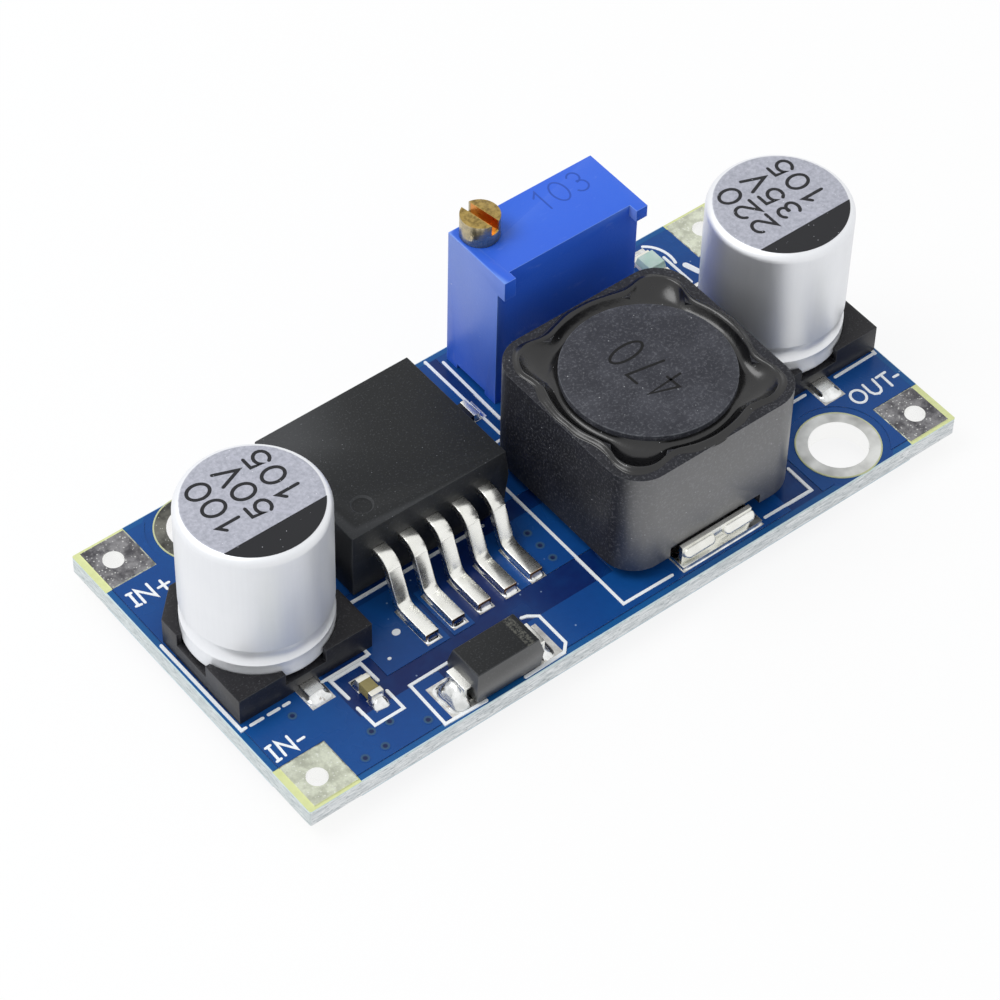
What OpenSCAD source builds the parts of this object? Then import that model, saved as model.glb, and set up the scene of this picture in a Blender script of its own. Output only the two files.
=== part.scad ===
// Adjustable step-down converter module: a small double-sided board that
// carries two aluminium capacitors, a five-lead switching regulator, a
// shielded inductor, a worm-driven trimmer, a diode and chip parts.
// Origin: centre of the board's underside. +X runs from the input end to
// the output end, +Y towards the positive edge, +Z up.

/* [Board] */
// Length along X
board_l = 43.2; // [43.1:0.1:48]
// Width along Y
board_w = 20.8; // [20.7:0.1:24]
// Finished thickness over foil and solder mask
board_t = 1.27; // [0.8:0.01:2.4]
// Radius of the board's corners
board_corner_r = 0.12; // [0.08:0.02:0.5]
// Thickness of the copper foil
foil_t = 0.04; // [0.03:0.005:0.07]
// Thickness of the solder mask over the foil
mask_t = 0.03; // [0.02:0.005:0.05]
// Wall of every plated hole
plating_t = 0.05; // [0.03:0.01:0.08]
// Free margin between the copper and the board's edge
copper_margin = 0.4; // [0.3:0.05:0.6]

/* [Wire pads and mounting holes] */
// Length of a corner wire pad along X
wire_pad_l = 2.7; // [2.2:0.1:2.9]
// Width of a corner wire pad along Y
wire_pad_w = 2.9; // [2.2:0.1:3.1]
// Gap between a wire pad and the end of the board
wire_pad_end_gap = 0.4; // [0.2:0.05:0.6]
// Gap between a wire pad and the side of the board
wire_pad_side_gap = 0.18; // [0.1:0.02:0.4]
// Bore of a wire hole
wire_hole_d = 1.16; // [0.8:0.02:1.6]
// Distance of a mounting hole's centre from the end of the board
mount_end_gap = 6.35; // [6.1:0.05:6.5]
// Distance of a mounting hole's centre from the side of the board
mount_side_gap = 2.35; // [2.3:0.05:2.5]
// Bore of a mounting hole, for an M3 screw
mount_hole_d = 3.3; // [2.6:0.1:3.4]
// Diameter of the plated ring around a mounting hole
mount_land_d = 4.6; // [4:0.1:4.6]

/* [Vias] */
// Outer diameter of a via
via_d = 0.46; // [0.4:0.02:0.5]
// Bore of a via
via_bore_d = 0.26; // [0.2:0.02:0.3]

/* [Capacitors] */
// Diameter of a capacitor's can
can_d = 8.0; // [7.6:0.1:8.1]
// Height of a capacitor above the board
can_top = 10.4; // [8:0.1:16]
// Radius of the can's upper shoulder
can_shoulder_r = 0.5; // [0.3:0.05:0.8]
// Depth of the bead rolled into the can
can_bead_depth = 0.2; // [0.08:0.02:0.25]
// Height of the bead above the board
can_bead_z = 2.95; // [2.6:0.05:3.4]
// Side of a capacitor's square base
base_side = 8.3; // [8.3:0.1:8.5]
// Thickness of the base plate
base_plate_t = 0.93; // [0.8:0.01:1.1]
// Height of the base's corner posts above the board
base_post_h = 1.8; // [1.5:0.05:2.1]
// Length of a corner post along each side of the base
base_post_l = 2.9; // [2:0.1:3]
// Bevel of the two corners on the positive side
base_bevel = 1.6; // [1:0.1:2]
// Width of a capacitor's flat terminal
can_terminal_w = 0.9; // [0.7:0.05:1.1]
// Thickness of a capacitor's flat terminal
can_terminal_t = 0.3; // [0.2:0.05:0.4]
// Reach of a terminal past the base
can_terminal_reach = 0.85; // [0.5:0.05:1]

/* [Regulator] */
// Width of the moulded body along X
reg_w = 10.2; // [10:0.05:10.3]
// Length of the moulded body along Y at the parting line
reg_len = 8.7; // [8.4:0.05:8.8]
// Height of the regulator above the board
reg_h = 4.6; // [4.3:0.05:4.8]
// Pitch of the five leads
lead_pitch = 1.7; // [1.7:0.01:1.75]
// Width of a lead
lead_w = 0.84; // [0.7:0.02:0.9]
// Thickness of a lead
lead_t = 0.5; // [0.4:0.02:0.55]
// Centreline radius of a lead's bends
lead_bend_r = 0.75; // [0.7:0.05:0.9]
// Slope of a lead between its bends, in degrees
lead_slope = 68; // [62:1:75]
// Straight stretch of a lead outside the body
lead_root_l = 0.4; // [0.3:0.05:0.8]
// Thickness of the metal tab under the body
tab_t = 1.27; // [1.1:0.01:1.35]
// Reach of the tab past the body
tab_reach = 1.4; // [1:0.05:1.6]

/* [Inductor] */
// Side of the square ferrite shell
shell_side = 11.9; // [11.7:0.1:12.1]
// Radius of the shell's vertical corners
shell_corner_r = 2.0; // [1.6:0.1:2.4]
// Height of the inductor above the board
shell_top = 7.75; // [7:0.05:9]
// Gap between the shell and the board
shell_gap = 0.75; // [0.6:0.05:0.9]
// Bore of the shell
shell_bore_d = 10.9; // [10.6:0.1:11]
// Diameter of the drum core's flanges
drum_d = 9.38; // [9:0.02:9.6]
// Width of a terminal clip along X
clip_w = 5.4; // [4.8:0.1:5.8]
// Thickness of a terminal clip
clip_t = 0.25; // [0.2:0.05:0.3]

/* [Trimmer] */
// Length of the trimmer's lid along X
trim_l = 9.65; // [9.4:0.01:9.7]
// Width of the trimmer over the lid's ears along Y
trim_w = 4.8; // [4.7:0.05:5]
// Height of the trimmer above the board
trim_h = 9.68; // [9.4:0.02:10.4]
// Front wall of the trimmer's housing
trim_wall = 0.6; // [0.5:0.05:0.65]
// End walls of the trimmer's housing
trim_end_wall = 0.35; // [0.3:0.01:0.38]
// Diameter of the adjusting screw's head
screw_d = 2.2; // [2:0.05:2.3]
// Diameter of the screw's neck in the lid
screw_neck_d = 1.9; // [1.7:0.05:1.95]
// Height of the screw head above the lid
screw_rise = 1.45; // [1:0.05:2]
// Width of the screwdriver slot
slot_w = 0.55; // [0.4:0.05:0.7]
// Depth of the screwdriver slot
slot_depth = 0.7; // [0.5:0.05:0.9]
// Angle of the slot as the module left the test bench, in degrees
slot_angle = 100; // [90:5:110]
// Radial running gap between the screw or the rotor and its bearing
running_gap = 0.04; // [0.03:0.01:0.08]
// Number of teeth on the rotor
rotor_teeth = 29; // [25:1:31]
// Pitch of the trimmer's pins
trim_pin_pitch = 2.54; // [2.5:0.01:2.6]
// Length of a trimmed pin below the board
trim_pin_below = 0.9; // [0.6:0.05:1.6]

/* [Diode and chip parts] */
// Length of the diode's body along X
diode_l = 4.3; // [4.1:0.05:4.5]
// Width of the diode's body along Y
diode_w = 2.55; // [2.4:0.05:2.6]
// Height of the diode above the board
diode_h = 2.15; // [2:0.05:2.4]
// Width of a diode lead
diode_lead_w = 1.5; // [1.3:0.05:1.6]
// Length, width and height of the input chip capacitor
chip_cap = [1.4, 0.76, 0.74];
// Length, width and height of a chip resistor
chip_resistor = [2.0, 1.25, 0.5];
// Length, width and height of the lamp
lamp = [2.0, 1.25, 0.75];

/* [Hidden] */
$fn = 48;

// Cutters reach this far past the faces that they cut
over = 1;

// ---- Levels of the board, upwards from its underside
core_z0 = mask_t + foil_t;
core_z1 = board_t - mask_t - foil_t;

// ---- Places on the board (X, Y)
cap_in_at = [-17.0, 0.25];
cap_out_at = [17.3, 0.15];
reg_at = [-6.75, 3.45];
reg_leads_x = -6.73;
inductor_at = [5.65, -3.1];
trim_at = [7.295, 7.26];
diode_at = [-8.9, -board_w / 2 + 1.4];
chip_cap_at = [-14.82, -6.25];
feedback_at = [0.1, 5.7];
lamp_at = [15.7, board_w / 2 - 2.2];
lamp_resistor_at = [14, 5.9];

mount_x = board_l / 2 - mount_end_gap;
mount_y = board_w / 2 - mount_side_gap;
wire_pad_x = board_l / 2 - wire_pad_end_gap - wire_pad_l / 2;
wire_pad_y = board_w / 2 - wire_pad_side_gap - wire_pad_w / 2;
// A wire hole sits a little nearer to the corner than its pad's centre
wire_hole_shift = [0.18, 0.09];

// ---- Small helpers

// A rounded rectangle centred on the origin
module rounded_rect(l, w, r) {
    square([l - 2 * r, w], center = true);
    square([l, w - 2 * r], center = true);
    for (sx = [-1, 1], sy = [-1, 1])
        translate([sx * (l / 2 - r), sy * (w / 2 - r)]) circle(r);
}

// An axis-aligned rectangle between two opposite corners
module patch(x0, y0, x1, y1) {
    translate([x0, y0]) square([x1 - x0, y1 - y0]);
}

// A flat outline raised between two levels
module layer(z0, z1) {
    translate([0, 0, z0]) linear_extrude(z1 - z0) children();
}

// A box given by its centre in X and Y and its lower and upper level
module box(at, l, w, z0, z1) {
    translate([at[0] - l / 2, at[1] - w / 2, z0]) cube([l, w, z1 - z0]);
}

// A box whose sides draft inwards from its widest level to its ends
module moulded_box(l, w, z0, z_wide, z1, draft_low, draft_high) {
    intersection() {
        rotate([90, 0, 0]) translate([0, 0, -w]) linear_extrude(2 * w)
            draft_profile(l, z0, z_wide, z1, draft_low, draft_high);
        rotate([90, 0, 90]) translate([0, 0, -l]) linear_extrude(2 * l)
            draft_profile(w, z0, z_wide, z1, draft_low, draft_high);
    }
}

module draft_profile(w, z0, z_wide, z1, draft_low, draft_high) {
    polygon([
        [-w / 2 + draft_low, z0], [w / 2 - draft_low, z0], [w / 2, z_wide],
        [w / 2 - draft_high, z1], [-w / 2 + draft_high, z1], [-w / 2, z_wide]
    ]);
}

// ---- Board

module board_outline() {
    rounded_rect(board_l, board_w, board_corner_r);
}

// Places each child at the four wire pads
module at_wire_pads() {
    for (sx = [-1, 1], sy = [-1, 1])
        translate([sx * wire_pad_x, sy * wire_pad_y]) scale_sign(sx, sy) children();
}

// Mirrors its children into the quadrant of the given signs
module scale_sign(sx, sy) {
    mirror([sx < 0 ? 1 : 0, 0, 0]) mirror([0, sy < 0 ? 1 : 0, 0]) children();
}

module at_mount_holes() {
    translate([-mount_x, mount_y]) children();
    translate([mount_x, -mount_y]) children();
}

// Ground vias, from the board's input end and its negative side
ground_vias = [[2.85, 5.35], [4.15, 1], [5.4, 1], [5.4, 2.15], [6.5, 2.1], [8.1, 1]];
sense_via_at = [-1.85, -2.8];
sense_via_step = 1.05;
sense_via_count = 3;
tab_via_at = [-10.1, 2.2];
tab_via_step = 2.2;
tab_via_cols = 4;
tab_via_rows = 3;

module at_vias() {
    for (at = ground_vias) translate([at[0] - board_l / 2, at[1] - board_w / 2]) children();
    for (i = [0 : sense_via_count - 1])
        translate([sense_via_at[0], sense_via_at[1] - i * sense_via_step]) children();
    for (i = [0 : tab_via_cols - 1], j = [0 : tab_via_rows - 1])
        translate([tab_via_at[0] + i * tab_via_step, tab_via_at[1] + j * tab_via_step]) children();
}

// Everything that is drilled through the laminate, at the size of the drill
module drilled_holes() {
    at_wire_pads() translate(wire_hole_shift) circle(d = wire_hole_d + 2 * plating_t);
    at_mount_holes() circle(d = mount_hole_d + 2 * plating_t);
    at_vias() circle(d = via_d, $fn = 24);
    at_trim_pins() circle(d = trim_hole_d);
}

module board_core() {
    color("#c9c8a4") layer(core_z0, core_z1) difference() {
        board_outline();
        drilled_holes();
    }
}

// Copper pours of the upper side. Each patch is one net's field of copper.
module upper_pours() {
    edge_x = board_l / 2 - copper_margin;
    edge_y = board_w / 2 - copper_margin;
    // ground, around the input end and under the chip capacitor
    patch(-edge_x, -edge_y, -16.1, -3);
    patch(-16.2, -edge_y, -11.2, -7.2);
    // positive input, to the first lead
    patch(-edge_x, 1.6, -13, edge_y);
    patch(-13.4, -5.9, -9.35, -1.4);
    // switching node, from the diode to the inductor
    patch(-6.9, -edge_y, 10.2, -7.5);
    patch(0.1, -7.6, 10.2, -6);
    patch(-9.1, -5.9, -7.75, -2.4);
    // ground tie beside the last lead
    patch(-4.6, -5.6, 0.3, -1.6);
    // under the regulator's tab
    patch(-12.4, -0.4, 1.5, edge_y);
    // positive output
    patch(2, 1.2, edge_x, edge_y);
    // ground, around the output end
    patch(12.4, -edge_y, edge_x, -1.4);
}

// Openings that the plated parts of the board need in foil and mask
module plated_openings() {
    at_wire_pads() square([wire_pad_l, wire_pad_w], center = true);
    at_mount_holes() circle(d = mount_land_d);
    at_vias() circle(d = via_d, $fn = 24);
    at_trim_pins() circle(d = trim_land_d);
}

// Clear ring in the copper around a mounting hole
mount_clear = 0.5;

module copper_top() {
    color("#b87333") layer(core_z1, core_z1 + foil_t) difference() {
        union() {
            upper_pours();
            land_outlines();
        }
        at_mount_holes() circle(d = mount_land_d + 2 * mount_clear);
        plated_openings();
    }
}

module copper_bottom() {
    edge_x = board_l / 2 - copper_margin;
    edge_y = board_w / 2 - copper_margin;
    color("#b87333") layer(mask_t, core_z0) difference() {
        union() {
            patch(-edge_x, -edge_y, 12, edge_y - 4);
            patch(-12.6, edge_y - 4.2, -0.6, edge_y);
            patch(12.4, -edge_y, edge_x, 2);
            patch(11.9, -edge_y + 5.3, 12.5, 2);
        }
        at_mount_holes() circle(d = mount_land_d + 2 * mount_clear);
        plated_openings();
        translate([trim_at[0] - 6, trim_pin_y - 1.6]) square([12, 3.2]);
    }
}

// The mask leaves the board's corners bare around each wire pad
mask_pad_gap = 0.08;

module mask_outline() {
    difference() {
        board_outline();
        at_wire_pads() translate([-wire_pad_l / 2 - mask_pad_gap, -wire_pad_w / 2 - mask_pad_gap])
            square([wire_pad_l + wire_pad_end_gap + over, wire_pad_w + wire_pad_side_gap + over]);
    }
}

module solder_mask_top() {
    color("#204f90") difference() {
        union() {
            layer(core_z1, board_t - foil_t) mask_outline();
            layer(core_z1 + foil_t / 2, board_t) intersection() {
                mask_outline();
                difference() {
                    upper_pours();
                    at_mount_holes() circle(d = mount_land_d + 2 * mount_clear);
                }
            }
        }
        layer(core_z1 - over, board_t + over) {
            plated_openings();
            land_outlines();
        }
        layer(core_z1 - over, core_z1 + foil_t) difference() {
            upper_pours();
            at_mount_holes() circle(d = mount_land_d + 2 * mount_clear);
        }
    }
}

module solder_mask_bottom() {
    edge_x = board_l / 2 - copper_margin;
    color("#204f90") difference() {
        layer(0, core_z0) mask_outline();
        layer(-over, board_t) plated_openings();
        copper_bottom();
    }
}

// Outlines of the tinned lands that the parts are soldered to
land_side_gap = 0.06;

module lead_land(x) {
    patch(x - lead_w / 2 - land_side_gap, reg_toe_y - 0.25, x + lead_w / 2 + land_side_gap, reg_toe_y + 2.6);
}

module chip_lands(at, size, along_y) {
    translate(at) rotate(along_y ? 90 : 0) for (s = [-1, 1])
        translate([s * (size[0] / 2 + 0.05), 0]) square([0.9, size[1] + 0.1], center = true);
}

module cap_lands(at) {
    for (s = [-1, 1]) translate([at[0], at[1] + s * (base_side / 2 - 0.2)])
        square([1.44, 3.4], center = true);
}

module clip_lands() {
    for (s = [-1, 1]) translate([inductor_at[0], inductor_at[1] + s * 5.5])
        square([clip_w + 0.1, 2.5], center = true);
}

module diode_lands() {
    for (s = [-1, 1]) translate([diode_at[0] + s * 2.65, diode_at[1]])
        square([1.8, 2.4], center = true);
}

module land_outlines() {
    for (i = [0 : 4]) lead_land(lead_x(i));
    translate([reg_at[0], reg_at[1] + reg_len / 2 - 1.1]) square([10.4, 5.6], center = true);
    cap_lands(cap_in_at);
    cap_lands(cap_out_at);
    clip_lands();
    diode_lands();
    chip_lands(chip_cap_at, chip_cap, true);
    chip_lands(feedback_at, chip_resistor, false);
    chip_lands(lamp_resistor_at, chip_resistor, false);
    chip_lands(lamp_at, lamp, true);
}

module component_lands() {
    color("#b9bab8") layer(core_z1 + foil_t, board_t) difference() {
        land_outlines();
        plated_openings();
    }
}

module vias() {
    color("#9c8f56") layer(mask_t, board_t) at_vias() difference() {
        circle(d = via_d, $fn = 24);
        circle(d = via_bore_d, $fn = 24);
    }
}

// A plated hole with a flange of the given outline on both sides
module plated_eyelet(hole_at, bore_d) {
    difference() {
        union() {
            layer(core_z1, board_t) children();
            layer(0, core_z0) children();
            translate([hole_at[0], hole_at[1], 0]) cylinder(h = board_t, d = bore_d + 2 * plating_t);
        }
        translate([hole_at[0], hole_at[1], -over]) cylinder(h = board_t + 2 * over, d = bore_d);
    }
}

module wire_pad(sx, sy) {
    color("#77767a") translate([sx * wire_pad_x, sy * wire_pad_y])
        plated_eyelet([sx * wire_hole_shift[0], sy * wire_hole_shift[1]], wire_hole_d)
            square([wire_pad_l, wire_pad_w], center = true);
}

module pad_in_plus() { wire_pad(-1, 1); }
module pad_in_minus() { wire_pad(-1, -1); }
module pad_out_plus() { wire_pad(1, 1); }
module pad_out_minus() { wire_pad(1, -1); }

module mount_ring(at) {
    color("#8d8d8c") translate(at) plated_eyelet([0, 0], mount_hole_d) circle(d = mount_land_d);
}

module mount_ring_left() { mount_ring([-mount_x, mount_y]); }
module mount_ring_right() { mount_ring([mount_x, -mount_y]); }

// ---- Aluminium capacitors

can_bottom = base_plate_t + 0.04;
// Largest gap between the can and the ring of posts
post_gap = 0.05;
// Distance of the terminals' lead wires from the can's axis
can_wire_x = 1.55;
can_wire_d = 0.6;

module can(at) {
    r = can_d / 2;
    foot_r = 0.45;
    bead_r = 0.9;
    color("#dcdfe3") translate([at[0], at[1], board_t]) rotate_extrude($fn = 96) difference() {
        union() {
            translate([0, can_bottom]) square([r - foot_r, can_top - can_bottom]);
            translate([0, can_bottom]) square([r - can_shoulder_r, can_top - can_bottom]);
            translate([0, can_bottom + foot_r])
                square([r, can_top - can_shoulder_r - can_bottom - foot_r]);
            translate([r - foot_r, can_bottom + foot_r]) circle(foot_r);
            translate([r - can_shoulder_r, can_top - can_shoulder_r]) circle(can_shoulder_r);
        }
        translate([-over, 0]) square([over, can_top + over]);
        translate([r + bead_r - can_bead_depth, can_bead_z]) circle(bead_r);
    }
}

// Plan of a base: a square with the two corners of its positive side bevelled
module base_plan() {
    h = base_side / 2;
    polygon([
        [-h, -h], [h, -h], [h, h - base_bevel], [h - base_bevel, h],
        [-h + base_bevel, h], [-h, h - base_bevel]
    ]);
}

module cap_base(at) {
    h = base_side / 2;
    channel_w = can_terminal_w + 0.04;
    color("#26272b") translate([at[0], at[1], board_t]) difference() {
        union() {
            linear_extrude(base_plate_t) base_plan();
            linear_extrude(base_post_h) intersection() {
                base_plan();
                for (sx = [-1, 1], sy = [-1, 1]) translate([sx * h, sy * h])
                    square([2 * base_post_l, 2 * base_post_l], center = true);
            }
        }
        translate([0, 0, base_plate_t]) cylinder(h = base_post_h, d = can_d + 2 * post_gap);
        for (s = [-1, 1]) {
            translate([0, s * can_wire_x, -over]) cylinder(h = base_plate_t + 2 * over, d = can_wire_d + 0.1);
            translate([-channel_w / 2, s > 0 ? can_wire_x - 0.5 : -h - over, -over])
                cube([channel_w, h + over - can_wire_x + 0.5, can_terminal_t + 0.02 + over]);
        }
    }
}

// A flat foot that runs outwards under the base from its round wire
module cap_terminal(at, s) {
    reach = base_side / 2 + can_terminal_reach;
    inner = can_wire_x - 0.45;
    color("#b8bab9") translate([at[0], at[1], board_t]) mirror([0, s < 0 ? 1 : 0, 0]) {
        translate([-can_terminal_w / 2, inner, 0]) cube([can_terminal_w, reach - inner, can_terminal_t]);
        translate([0, can_wire_x, can_terminal_t / 2])
            cylinder(h = can_bottom - can_terminal_t / 2, d = can_wire_d);
    }
}

module cap_in_can() { can(cap_in_at); }
module cap_in_base() { cap_base(cap_in_at); }
module cap_in_terminal_plus() { cap_terminal(cap_in_at, 1); }
module cap_in_terminal_minus() { cap_terminal(cap_in_at, -1); }
module cap_out_can() { can(cap_out_at); }
module cap_out_base() { cap_base(cap_out_at); }
module cap_out_terminal_plus() { cap_terminal(cap_out_at, 1); }
module cap_out_terminal_minus() { cap_terminal(cap_out_at, -1); }

// ---- Regulator

reg_clear = 0.1;
reg_parting = 2.9;
reg_front_y = reg_at[1] - reg_len / 2;
// Upper face of a lead where it leaves the body, above the board
lead_root_z = 3.15;
lead_drop = lead_root_z - lead_t;
// The sloping stretch reaches this far into both of its bends
lead_blend = 0.02;
// Length of a lead buried in the body
lead_buried = 1.1;
lead_slope_l = (lead_drop - 2 * lead_bend_r * (1 - cos(lead_slope))) / sin(lead_slope);
lead_foot_l = 2.0;
lead_run = lead_root_l + 2 * lead_bend_r * sin(lead_slope)
    + lead_slope_l * cos(lead_slope) + lead_foot_l;
reg_toe_y = reg_front_y - lead_run;

function lead_x(i) = reg_leads_x + (i - 2) * lead_pitch;

// One bend of a lead. It starts level at the origin and turns downwards
// towards +Y by the lead's slope.
module lead_bend() {
    translate([lead_w / 2, 0, -lead_bend_r]) rotate([0, -90, 0])
        rotate_extrude(angle = lead_slope, $fn = 64)
            translate([lead_bend_r - lead_t / 2, 0]) square([lead_t, lead_w]);
}

// A gull-wing lead. It leaves the body along -Y at its root and ends in a
// flat foot on the board. "extra" lengthens the part buried in the body.
module gull_lead(x, extra) {
    translate([x, reg_front_y, board_t + lead_root_z - lead_t / 2]) mirror([0, 1, 0]) {
        translate([-lead_w / 2, -lead_buried - extra, -lead_t / 2])
            cube([lead_w, lead_buried + extra + lead_root_l, lead_t]);
        translate([0, lead_root_l, 0]) lead_bend();
        translate([0, lead_root_l + lead_bend_r * sin(lead_slope), -lead_bend_r * (1 - cos(lead_slope))])
            rotate([-lead_slope, 0, 0]) translate([-lead_w / 2, -lead_blend, -lead_t / 2])
                cube([lead_w, lead_slope_l + 2 * lead_blend, lead_t]);
        translate([0, lead_run - lead_foot_l, -lead_drop]) rotate([180, 0, 0]) lead_bend();
        translate([-lead_w / 2, lead_run - lead_foot_l, -lead_drop - lead_t / 2])
            cube([lead_w, lead_foot_l, lead_t]);
    }
}

// The metal tab: a thick plate with two clipped corners outside the body
tab_inner_w = 8.2;
tab_w = 10.0;
tab_clip = 0.9;

module tab_plate() {
    y0 = reg_front_y + 1.9;
    y1 = reg_at[1] + reg_len / 2;
    layer(board_t, board_t + tab_t) {
        translate([reg_at[0], (y0 + y1) / 2]) square([tab_inner_w, y1 - y0 + 0.2], center = true);
        translate([reg_at[0], y1]) polygon([
            [-tab_w / 2, -0.7], [tab_w / 2, -0.7], [tab_w / 2, tab_reach - tab_clip],
            [tab_w / 2 - tab_clip, tab_reach], [-tab_w / 2 + tab_clip, tab_reach],
            [-tab_w / 2, tab_reach - tab_clip]
        ]);
    }
}

module regulator_tab() {
    color("#b9b9b7") {
        tab_plate();
        gull_lead(lead_x(2), 0);
        // the step that joins the middle lead to the tab inside the body
        translate([lead_x(2) - lead_w / 2, reg_front_y + lead_buried - 0.01, board_t + tab_t / 2])
            cube([lead_w, 1.2, lead_root_z - tab_t / 2]);
    }
}

module regulator_body() {
    pin_mark_d = 1.15;
    color("#2b2c30") difference() {
        translate([reg_at[0], reg_at[1], board_t])
            moulded_box(reg_w, reg_len, reg_clear, reg_parting, reg_h, 0.18, 0.14);
        for (i = [0, 1, 3, 4]) gull_lead(lead_x(i), 0);
        regulator_tab();
        translate([lead_x(0) + 0.25, reg_front_y + 1.75, board_t + reg_h - 0.12])
            cylinder(h = 1, d = pin_mark_d);
    }
}

module regulator_lead(i) { color("#c4c6c6") gull_lead(lead_x(i), 0); }
module regulator_lead_1() { regulator_lead(0); }
module regulator_lead_2() { regulator_lead(1); }
module regulator_lead_4() { regulator_lead(3); }
module regulator_lead_5() { regulator_lead(4); }

// ---- Inductor

// The terminal clips stand on the board; the drum stands on their plates
drum_z0 = clip_t;
drum_proud = 0.22;
drum_top = shell_top + drum_proud;
drum_flange_t = 1.1;
drum_core_d = 5.2;
winding_gap = 0.05;
winding_d = 8.7;
pocket_r = 1.45;
pocket_out = 5.25;
clip_notch_w = clip_w + 0.7;
clip_rise = 1.45;
clip_wall_y = shell_side / 2 + 0.1;
clip_toe = 0.35;
clip_reach = clip_wall_y + clip_t + clip_toe;
clip_inner_y = 3.2;

// Bore of the shell: a circle with a pocket towards each corner
module shell_bore() {
    circle(d = shell_bore_d, $fn = 96);
    for (a = [45 : 90 : 315]) rotate(a) translate([pocket_out, 0]) circle(pocket_r);
}

module inductor_shell() {
    color("#3a3b40") translate([inductor_at[0], inductor_at[1], board_t]) difference() {
        layer(shell_gap, shell_top) difference() {
            rounded_rect(shell_side, shell_side, shell_corner_r);
            shell_bore();
        }
        for (s = [-1, 1]) translate([-clip_notch_w / 2, s * shell_side / 2 - 1, -over])
            cube([clip_notch_w, 2, clip_rise + over]);
    }
}

module inductor_drum() {
    color("#4a4b50") translate([inductor_at[0], inductor_at[1], board_t]) {
        translate([0, 0, drum_z0]) cylinder(h = drum_flange_t, d = drum_d, $fn = 96);
        translate([0, 0, drum_z0]) cylinder(h = drum_top - drum_z0, d = drum_core_d);
        translate([0, 0, drum_top - drum_flange_t]) cylinder(h = drum_flange_t, d = drum_d, $fn = 96);
    }
}

module inductor_winding() {
    color("#b5652a") translate([inductor_at[0], inductor_at[1], board_t]) rotate_extrude($fn = 72)
        translate([drum_core_d / 2, drum_z0 + drum_flange_t + winding_gap])
            square([(winding_d - drum_core_d) / 2, drum_top - drum_z0 - 2 * (drum_flange_t + winding_gap)]);
}

// Glue that fills the ring between the drum and the shell near the top
module inductor_glue() {
    glue_z0 = shell_top - 0.95;
    glue_z1 = shell_top - 0.3;
    color("#17181a") translate([inductor_at[0], inductor_at[1], board_t])
        layer(glue_z0, glue_z1) difference() {
            shell_bore();
            circle(d = drum_d, $fn = 96);
        }
}

// A clip folded from strip: plate under the drum, wall in front of the
// shell and two lugs closed over the ends of the winding
module inductor_clip(s) {
    lug_l = 2.15;
    lug_r = 0.36;
    lug_gap = 0.55;
    color("#cfcdc0") translate([inductor_at[0], inductor_at[1], board_t]) mirror([0, s > 0 ? 1 : 0, 0]) {
        translate([-clip_w / 2, -clip_reach, 0]) cube([clip_w, clip_reach - clip_inner_y, clip_t]);
        translate([-clip_w / 2 + 0.15, -clip_wall_y - clip_t, 0]) cube([clip_w - 0.7, clip_t, clip_rise - 0.08]);
        for (k = [-1, 1]) translate([k * (lug_l + lug_gap) / 2 - 0.1, -clip_wall_y - clip_t, 0.86]) {
            translate([-lug_l / 2 + lug_r, 0, 0]) rotate([0, 90, 0]) cylinder(h = lug_l - 2 * lug_r, r = lug_r);
            for (e = [-1, 1]) translate([e * (lug_l / 2 - lug_r), 0, 0]) sphere(lug_r, $fn = 32);
        }
    }
}

module inductor_clip_front() { inductor_clip(-1); }
module inductor_clip_back() { inductor_clip(1); }

// ---- Trimmer

trim_standoff = 0.3;
trim_lid_t = 0.75;
trim_ear_depth = 0.57;
trim_lid_overhang = 0.15;
trim_x0 = trim_at[0] - trim_l / 2;
trim_x1 = trim_at[0] + trim_l / 2;
trim_y0 = trim_at[1] - trim_w / 2 + trim_ear_depth;
trim_y1 = trim_at[1] + trim_w / 2;
trim_back_wall = 0.26;
trim_top = board_t + trim_h;
trim_body_x1 = trim_x1 - trim_lid_overhang;
cavity_x0 = trim_x0 + trim_end_wall;
cavity_x1 = trim_body_x1 - trim_end_wall;
cavity_y0 = trim_y0 + trim_wall;
cavity_y1 = trim_y1 - trim_back_wall;
trim_floor_t = 0.8;
floor_z1 = board_t + trim_standoff + trim_floor_t;
cavity_top = trim_top - 1.0;
boss_bottom = trim_top - 2.1;

screw_at = [trim_x0 + 1.27, trim_y1 - 1.08];
worm_r = 0.76;
// Half the width of the boss around the screw's neck
boss_half = screw_neck_d / 2 + running_gap + 0.2;
worm_z0 = floor_z1 - 0.35;
pivot_r = 0.4;
o_ring_r = 0.17;
o_ring_z = trim_top - 1.3;

// The rotor's teeth end just outside the worm's core
tooth_gap = 0.12;
rotor_r = 3.05;
rotor_root_r = 2.85;
rotor_w = 1.0;
rotor_at = [screw_at[0] + worm_r + tooth_gap + rotor_r, screw_at[1], (floor_z1 + cavity_top) / 2];
hub_r = 0.9;

// The element stands behind the front wall, over the pins
element_t = 0.6;
element_gap = 0.35;
element_z0 = floor_z1 + 0.4;
element_half = rotor_r + 0.05;
trim_pin_y = cavity_y0 + element_t / 2 + element_gap;
trim_pin_d = 0.5;
trim_hole_d = 0.9;
trim_land_d = 1.7;

function trim_pin_x(i) = trim_at[0] - 0.2 + (i - 1) * trim_pin_pitch;

module at_trim_pins() {
    for (i = [0 : 2]) translate([trim_pin_x(i), trim_pin_y]) children();
}

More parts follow.
